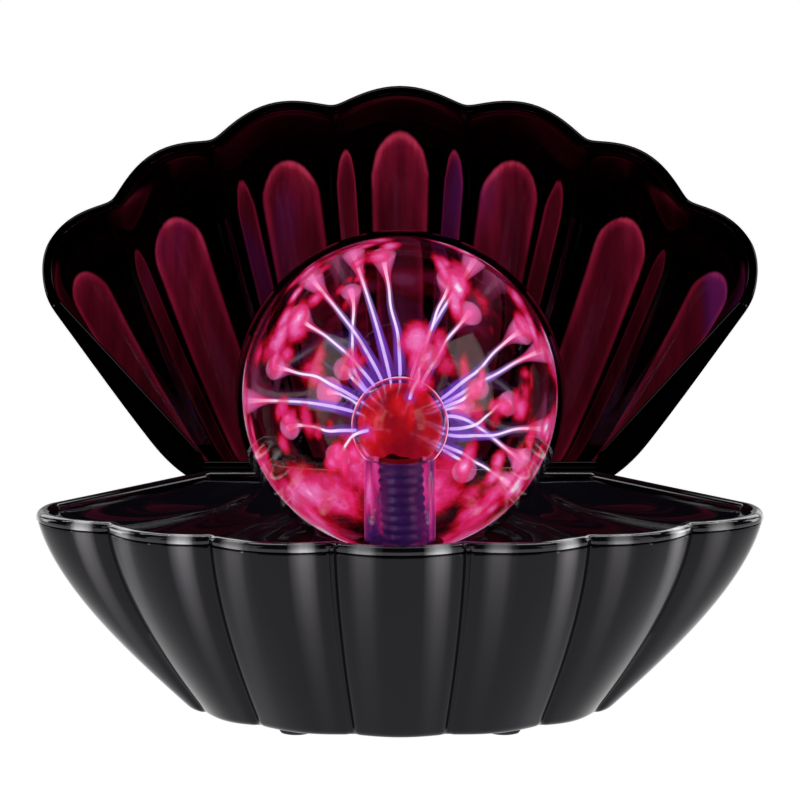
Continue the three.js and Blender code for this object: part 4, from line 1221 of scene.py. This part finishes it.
def softened(node, name, width, finish, body="base", sharp=35, segments=3):
    # a merged copy of a CAD part with its moulded or machined edges rounded
    mesh = frame["nodes"][node].data.copy()
    mesh.name = name
    mesh.materials.clear()
    mesh.materials.append(finishes[finish])
    cleaner = merged(mesh, 5e-6)
    bmesh.ops.dissolve_limit(cleaner, angle_limit=math.radians(1), verts=cleaner.verts, edges=cleaner.edges)
    cleaner.to_mesh(mesh)
    cleaner.free()
    piece = bpy.data.objects.new(name, mesh)
    bpy.context.scene.collection.objects.link(piece)
    edge = piece.modifiers.new("edge", "BEVEL")
    edge.width = width * mm
    edge.segments = segments
    edge.limit_method = "ANGLE"
    edge.angle_limit = math.radians(sharp)
    edge.use_clamp_overlap = True
    applyModifiers(piece, sharp)
    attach(piece, body)
    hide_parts(node)
    return piece


mouldings = [  # node, piece, edge radius, finish, slot, body
    ("bottom_cover", "service_cover", 0.3, "moulding", "black_plastic", "base"),
    ("rear_panel", "connector_panel", 0.35, "moulding", "black_plastic", "base"),
    ("inlet_jack", "supply_socket", 0.3, "moulding", "black_plastic", "base"),
    ("inlet_pin", "socket_pin", 0.35, "brightSteel", "bright_steel", "base"),
    ("switch_body", "switch_case", 0.3, "darkSteel", "dark_steel", "base"),
    ("switch_knob", "switch_slider", 0.15, "moulding", "black_plastic", "mode_knob"),
    ("base_hinge_left", "lower_hinge_left", 0.25, "moulding", "black_plastic", "base"),
    ("base_hinge_right", "lower_hinge_right", 0.25, "moulding", "black_plastic", "base"),
    ("lid_hinge_left", "upper_hinge_left", 0.25, "moulding", "black_plastic", "lid"),
    ("lid_hinge_right", "upper_hinge_right", 0.25, "moulding", "black_plastic", "lid"),
    ("hinge_pin_left", "pin_left", 0.25, "brightSteel", "bright_steel", "base"),
    ("hinge_pin_right", "pin_right", 0.25, "brightSteel", "bright_steel", "base"),
    ("circuit_board", "control_board", 0.1, "board", "board", "base"),
    ("transformer_core", "core_block", 0.5, "ferrite", "ferrite", "base"),
    ("transformer_winding", "coil_winding", 0.4, "winding", "winding", "base"),
    ("heat_sink", "cooling_fins", 0.2, "aluminium", "aluminium", "base"),
    ("power_transistor", "driver_transistor", 0.2, "moulding", "black_plastic", "base"),
    ("capacitor_1", "capacitor_can_1", 0.3, "sleeve", "capacitor_sleeve", "base"),
    ("capacitor_2", "capacitor_can_2", 0.3, "sleeve", "capacitor_sleeve", "base"),
    ("high_voltage_lead", "feed_lead", 0.1, "wire", "red_wire", "base"),
]
for node, name, width, finish, slot, body in mouldings:
    softened(node, name, width, finish, body)
print("fittings made")


# Studio

studio = {
    "target": (0, 0, 0.0887), "distance": 6.0, "elevation": 10.2, "span": 0.24464,
    "centre": (0, -0.03, 0.09), "floorGlow": 1.0, "redLight": 1.6,
}


def makeFloor():
    # one pale glowing sheet that lights every mesh from below except the upper valve, the globe and the
    # ball's glass
    mesh = bpy.data.meshes.new("floor")
    half = 12.0
    corners = [(-half, -half, 0), (half, -half, 0), (half, half, 0), (-half, half, 0)]
    mesh.from_pydata(corners, [], [(0, 1, 2, 3)])
    paint = Paint("pale floor")
    cloud = paint.noise(6, 3)
    mesh.materials.append(paint.shade({
        "Base Color": paint.mix(cloud, (0.72, 0.72, 0.72), (0.74, 0.74, 0.74)),
        "Roughness": 0.9,
        "Specular IOR Level": 0.0,
        "Emission Color": (1, 1, 1, 1),
        "Emission Strength": studio["floorGlow"],
    }))
    floor = bpy.data.objects.new("floor", mesh)
    lit = bpy.data.collections.new("floor lights")
    for piece in bpy.context.scene.collection.objects:
        if piece.type == "MESH" and piece.name not in ("upper_shell", "globe_bulb", "electrode_bulb"):
            lit.objects.link(piece)
    floor.light_linking.receiver_collection = lit
    bpy.context.scene.collection.objects.link(floor)


def lampAt(name, light, place, falls):
    # falls names the pieces that the lamp lights
    lamp = bpy.data.objects.new(name, light)
    lamp.location = place
    lamp.visible_camera = False
    bpy.context.scene.collection.objects.link(lamp)
    group = bpy.data.collections.new(name + " falls on")
    for piece in falls:
        group.objects.link(bpy.data.objects[piece])
    lamp.light_linking.receiver_collection = group
    return lamp


def softbox(name, place, width, height, radiance, falls):
    # a rectangular lamp turned towards the middle of the object
    light = bpy.data.lights.new(name, "AREA")
    light.shape = "RECTANGLE"
    light.size, light.size_y = width, height
    light.energy = radiance * math.pi * width * height
    lamp = lampAt(name, light, place, falls)
    lamp.rotation_euler = (Vector(studio["centre"]) - Vector(place)).to_track_quat("-Z", "Y").to_euler()
    return lamp


def plasmaLamp(falls):
    # the globe as the gloss round it sees it: a ball of red and violet streaks
    light = bpy.data.lights.new("plasma light", "POINT")
    light.shadow_soft_size = 0.0515
    light.energy = studio["redLight"]
    light.use_nodes = True
    tree = light.node_tree
    normal = tree.nodes.new("ShaderNodeNewGeometry")
    noise = tree.nodes.new("ShaderNodeTexNoise")
    noise.inputs["Scale"].default_value = 4.0
    noise.inputs["Detail"].default_value = 3.0
    ramp = tree.nodes.new("ShaderNodeValToRGB")
    ramp.color_ramp.elements[0].position, ramp.color_ramp.elements[1].position = 0.34, 0.62
    ramp.color_ramp.elements[0].color = (0.05, 0.004, 0.05, 1)
    ramp.color_ramp.elements[1].color = (1.0, 0.012, 0.09, 1)
    tree.links.new(normal.outputs["Normal"], noise.inputs["Vector"])
    tree.links.new(noise.outputs["Fac"], ramp.inputs["Fac"])
    tree.links.new(ramp.outputs["Color"], tree.nodes["Emission"].inputs["Color"])
    place = toRow(np.array([[0, -globeForward, globe["centreZ"]]]))[0]
    return lampAt("plasma light", light, place, falls)


def makeWorld():
    # white behind the object, dark everywhere else
    world = bpy.data.worlds.new("studio")
    world.use_nodes = True
    tree = world.node_tree
    path = tree.nodes.new("ShaderNodeLightPath")
    tree.links.new(path.outputs["Is Camera Ray"], tree.nodes["Background"].inputs["Strength"])
    tree.nodes["Background"].inputs["Color"].default_value = (1, 1, 1, 1)
    bpy.context.scene.world = world


makeFloor()
makeWorld()
lower = ["bowl_shell", "deck_dish", "collar_ring", "globe_bulb"]
shells = ["bowl_shell", "deck_dish", "collar_ring", "upper_shell", "ridged_sleeve"]
deckPieces = ["deck_dish", "collar_ring", "ridged_sleeve"]
# name, place, width, height, radiance and the pieces it lights
softboxes = [
    ("left window", (-0.86, -0.62, 0.45), 0.46, 0.95, 0.75, lower),
    ("right window", (0.86, -0.62, 0.45), 0.46, 0.95, 0.75, lower),
    ("left edge", (-0.95, 0.35, 0.35), 0.25, 0.8, 3.0, shells),
    ("right edge", (0.95, 0.35, 0.35), 0.25, 0.8, 3.0, shells),
    ("left streak", (-0.80, -0.42, 0.42), 0.035, 0.9, 9.0, ["bowl_shell"]),
    ("right streak", (0.80, -0.42, 0.42), 0.035, 0.9, 7.0, ["bowl_shell"]),
    ("deck panel", (0, 1.0, 0.75), 1.8, 0.5, 3.0, deckPieces),
    ("deck strip", (0, 0.45, 1.1), 1.6, 0.06, 14.0, deckPieces),
    ("left deck", (-1.0, 0.5, 0.3), 0.5, 0.4, 2.4, deckPieces),
    ("right deck", (1.0, 0.5, 0.3), 0.5, 0.4, 3.0, deckPieces),
    ("behind", (0, 1.3, 0.22), 2.4, 0.7, 0.5, ["upper_shell"]),
    ("top strip", (0, 0.25, 1.25), 1.2, 0.25, 2.2, shells),
    ("back panel", (0, 1.9, 0.45), 4.5, 0.9, 0.4, shells),
]
for box in softboxes:
    softbox(*box)
plasmaLamp(["upper_shell", "bowl_shell", "deck_dish", "collar_ring"])

cameraData = bpy.data.cameras.new("camera")
camera = bpy.data.objects.new("camera", cameraData)
elevation = math.radians(studio["elevation"])
back = Vector((0, -math.cos(elevation), math.sin(elevation)))
camera.location = Vector(studio["target"]) + back * studio["distance"]
camera.rotation_euler = (-back).to_track_quat("-Z", "Y").to_euler()
cameraData.sensor_width = 36
cameraData.lens = 36 * studio["distance"] / studio["span"]
cameraData.clip_end = 40
bpy.context.scene.collection.objects.link(camera)
bpy.context.scene.camera = camera
bpy.context.scene.view_settings.view_transform = "Standard"
bpy.context.scene.cycles.transparent_max_bounces = 24
bpy.context.scene.cycles.max_bounces = 16
bpy.context.scene.cycles.transmission_bounces = 16
print("studio made")
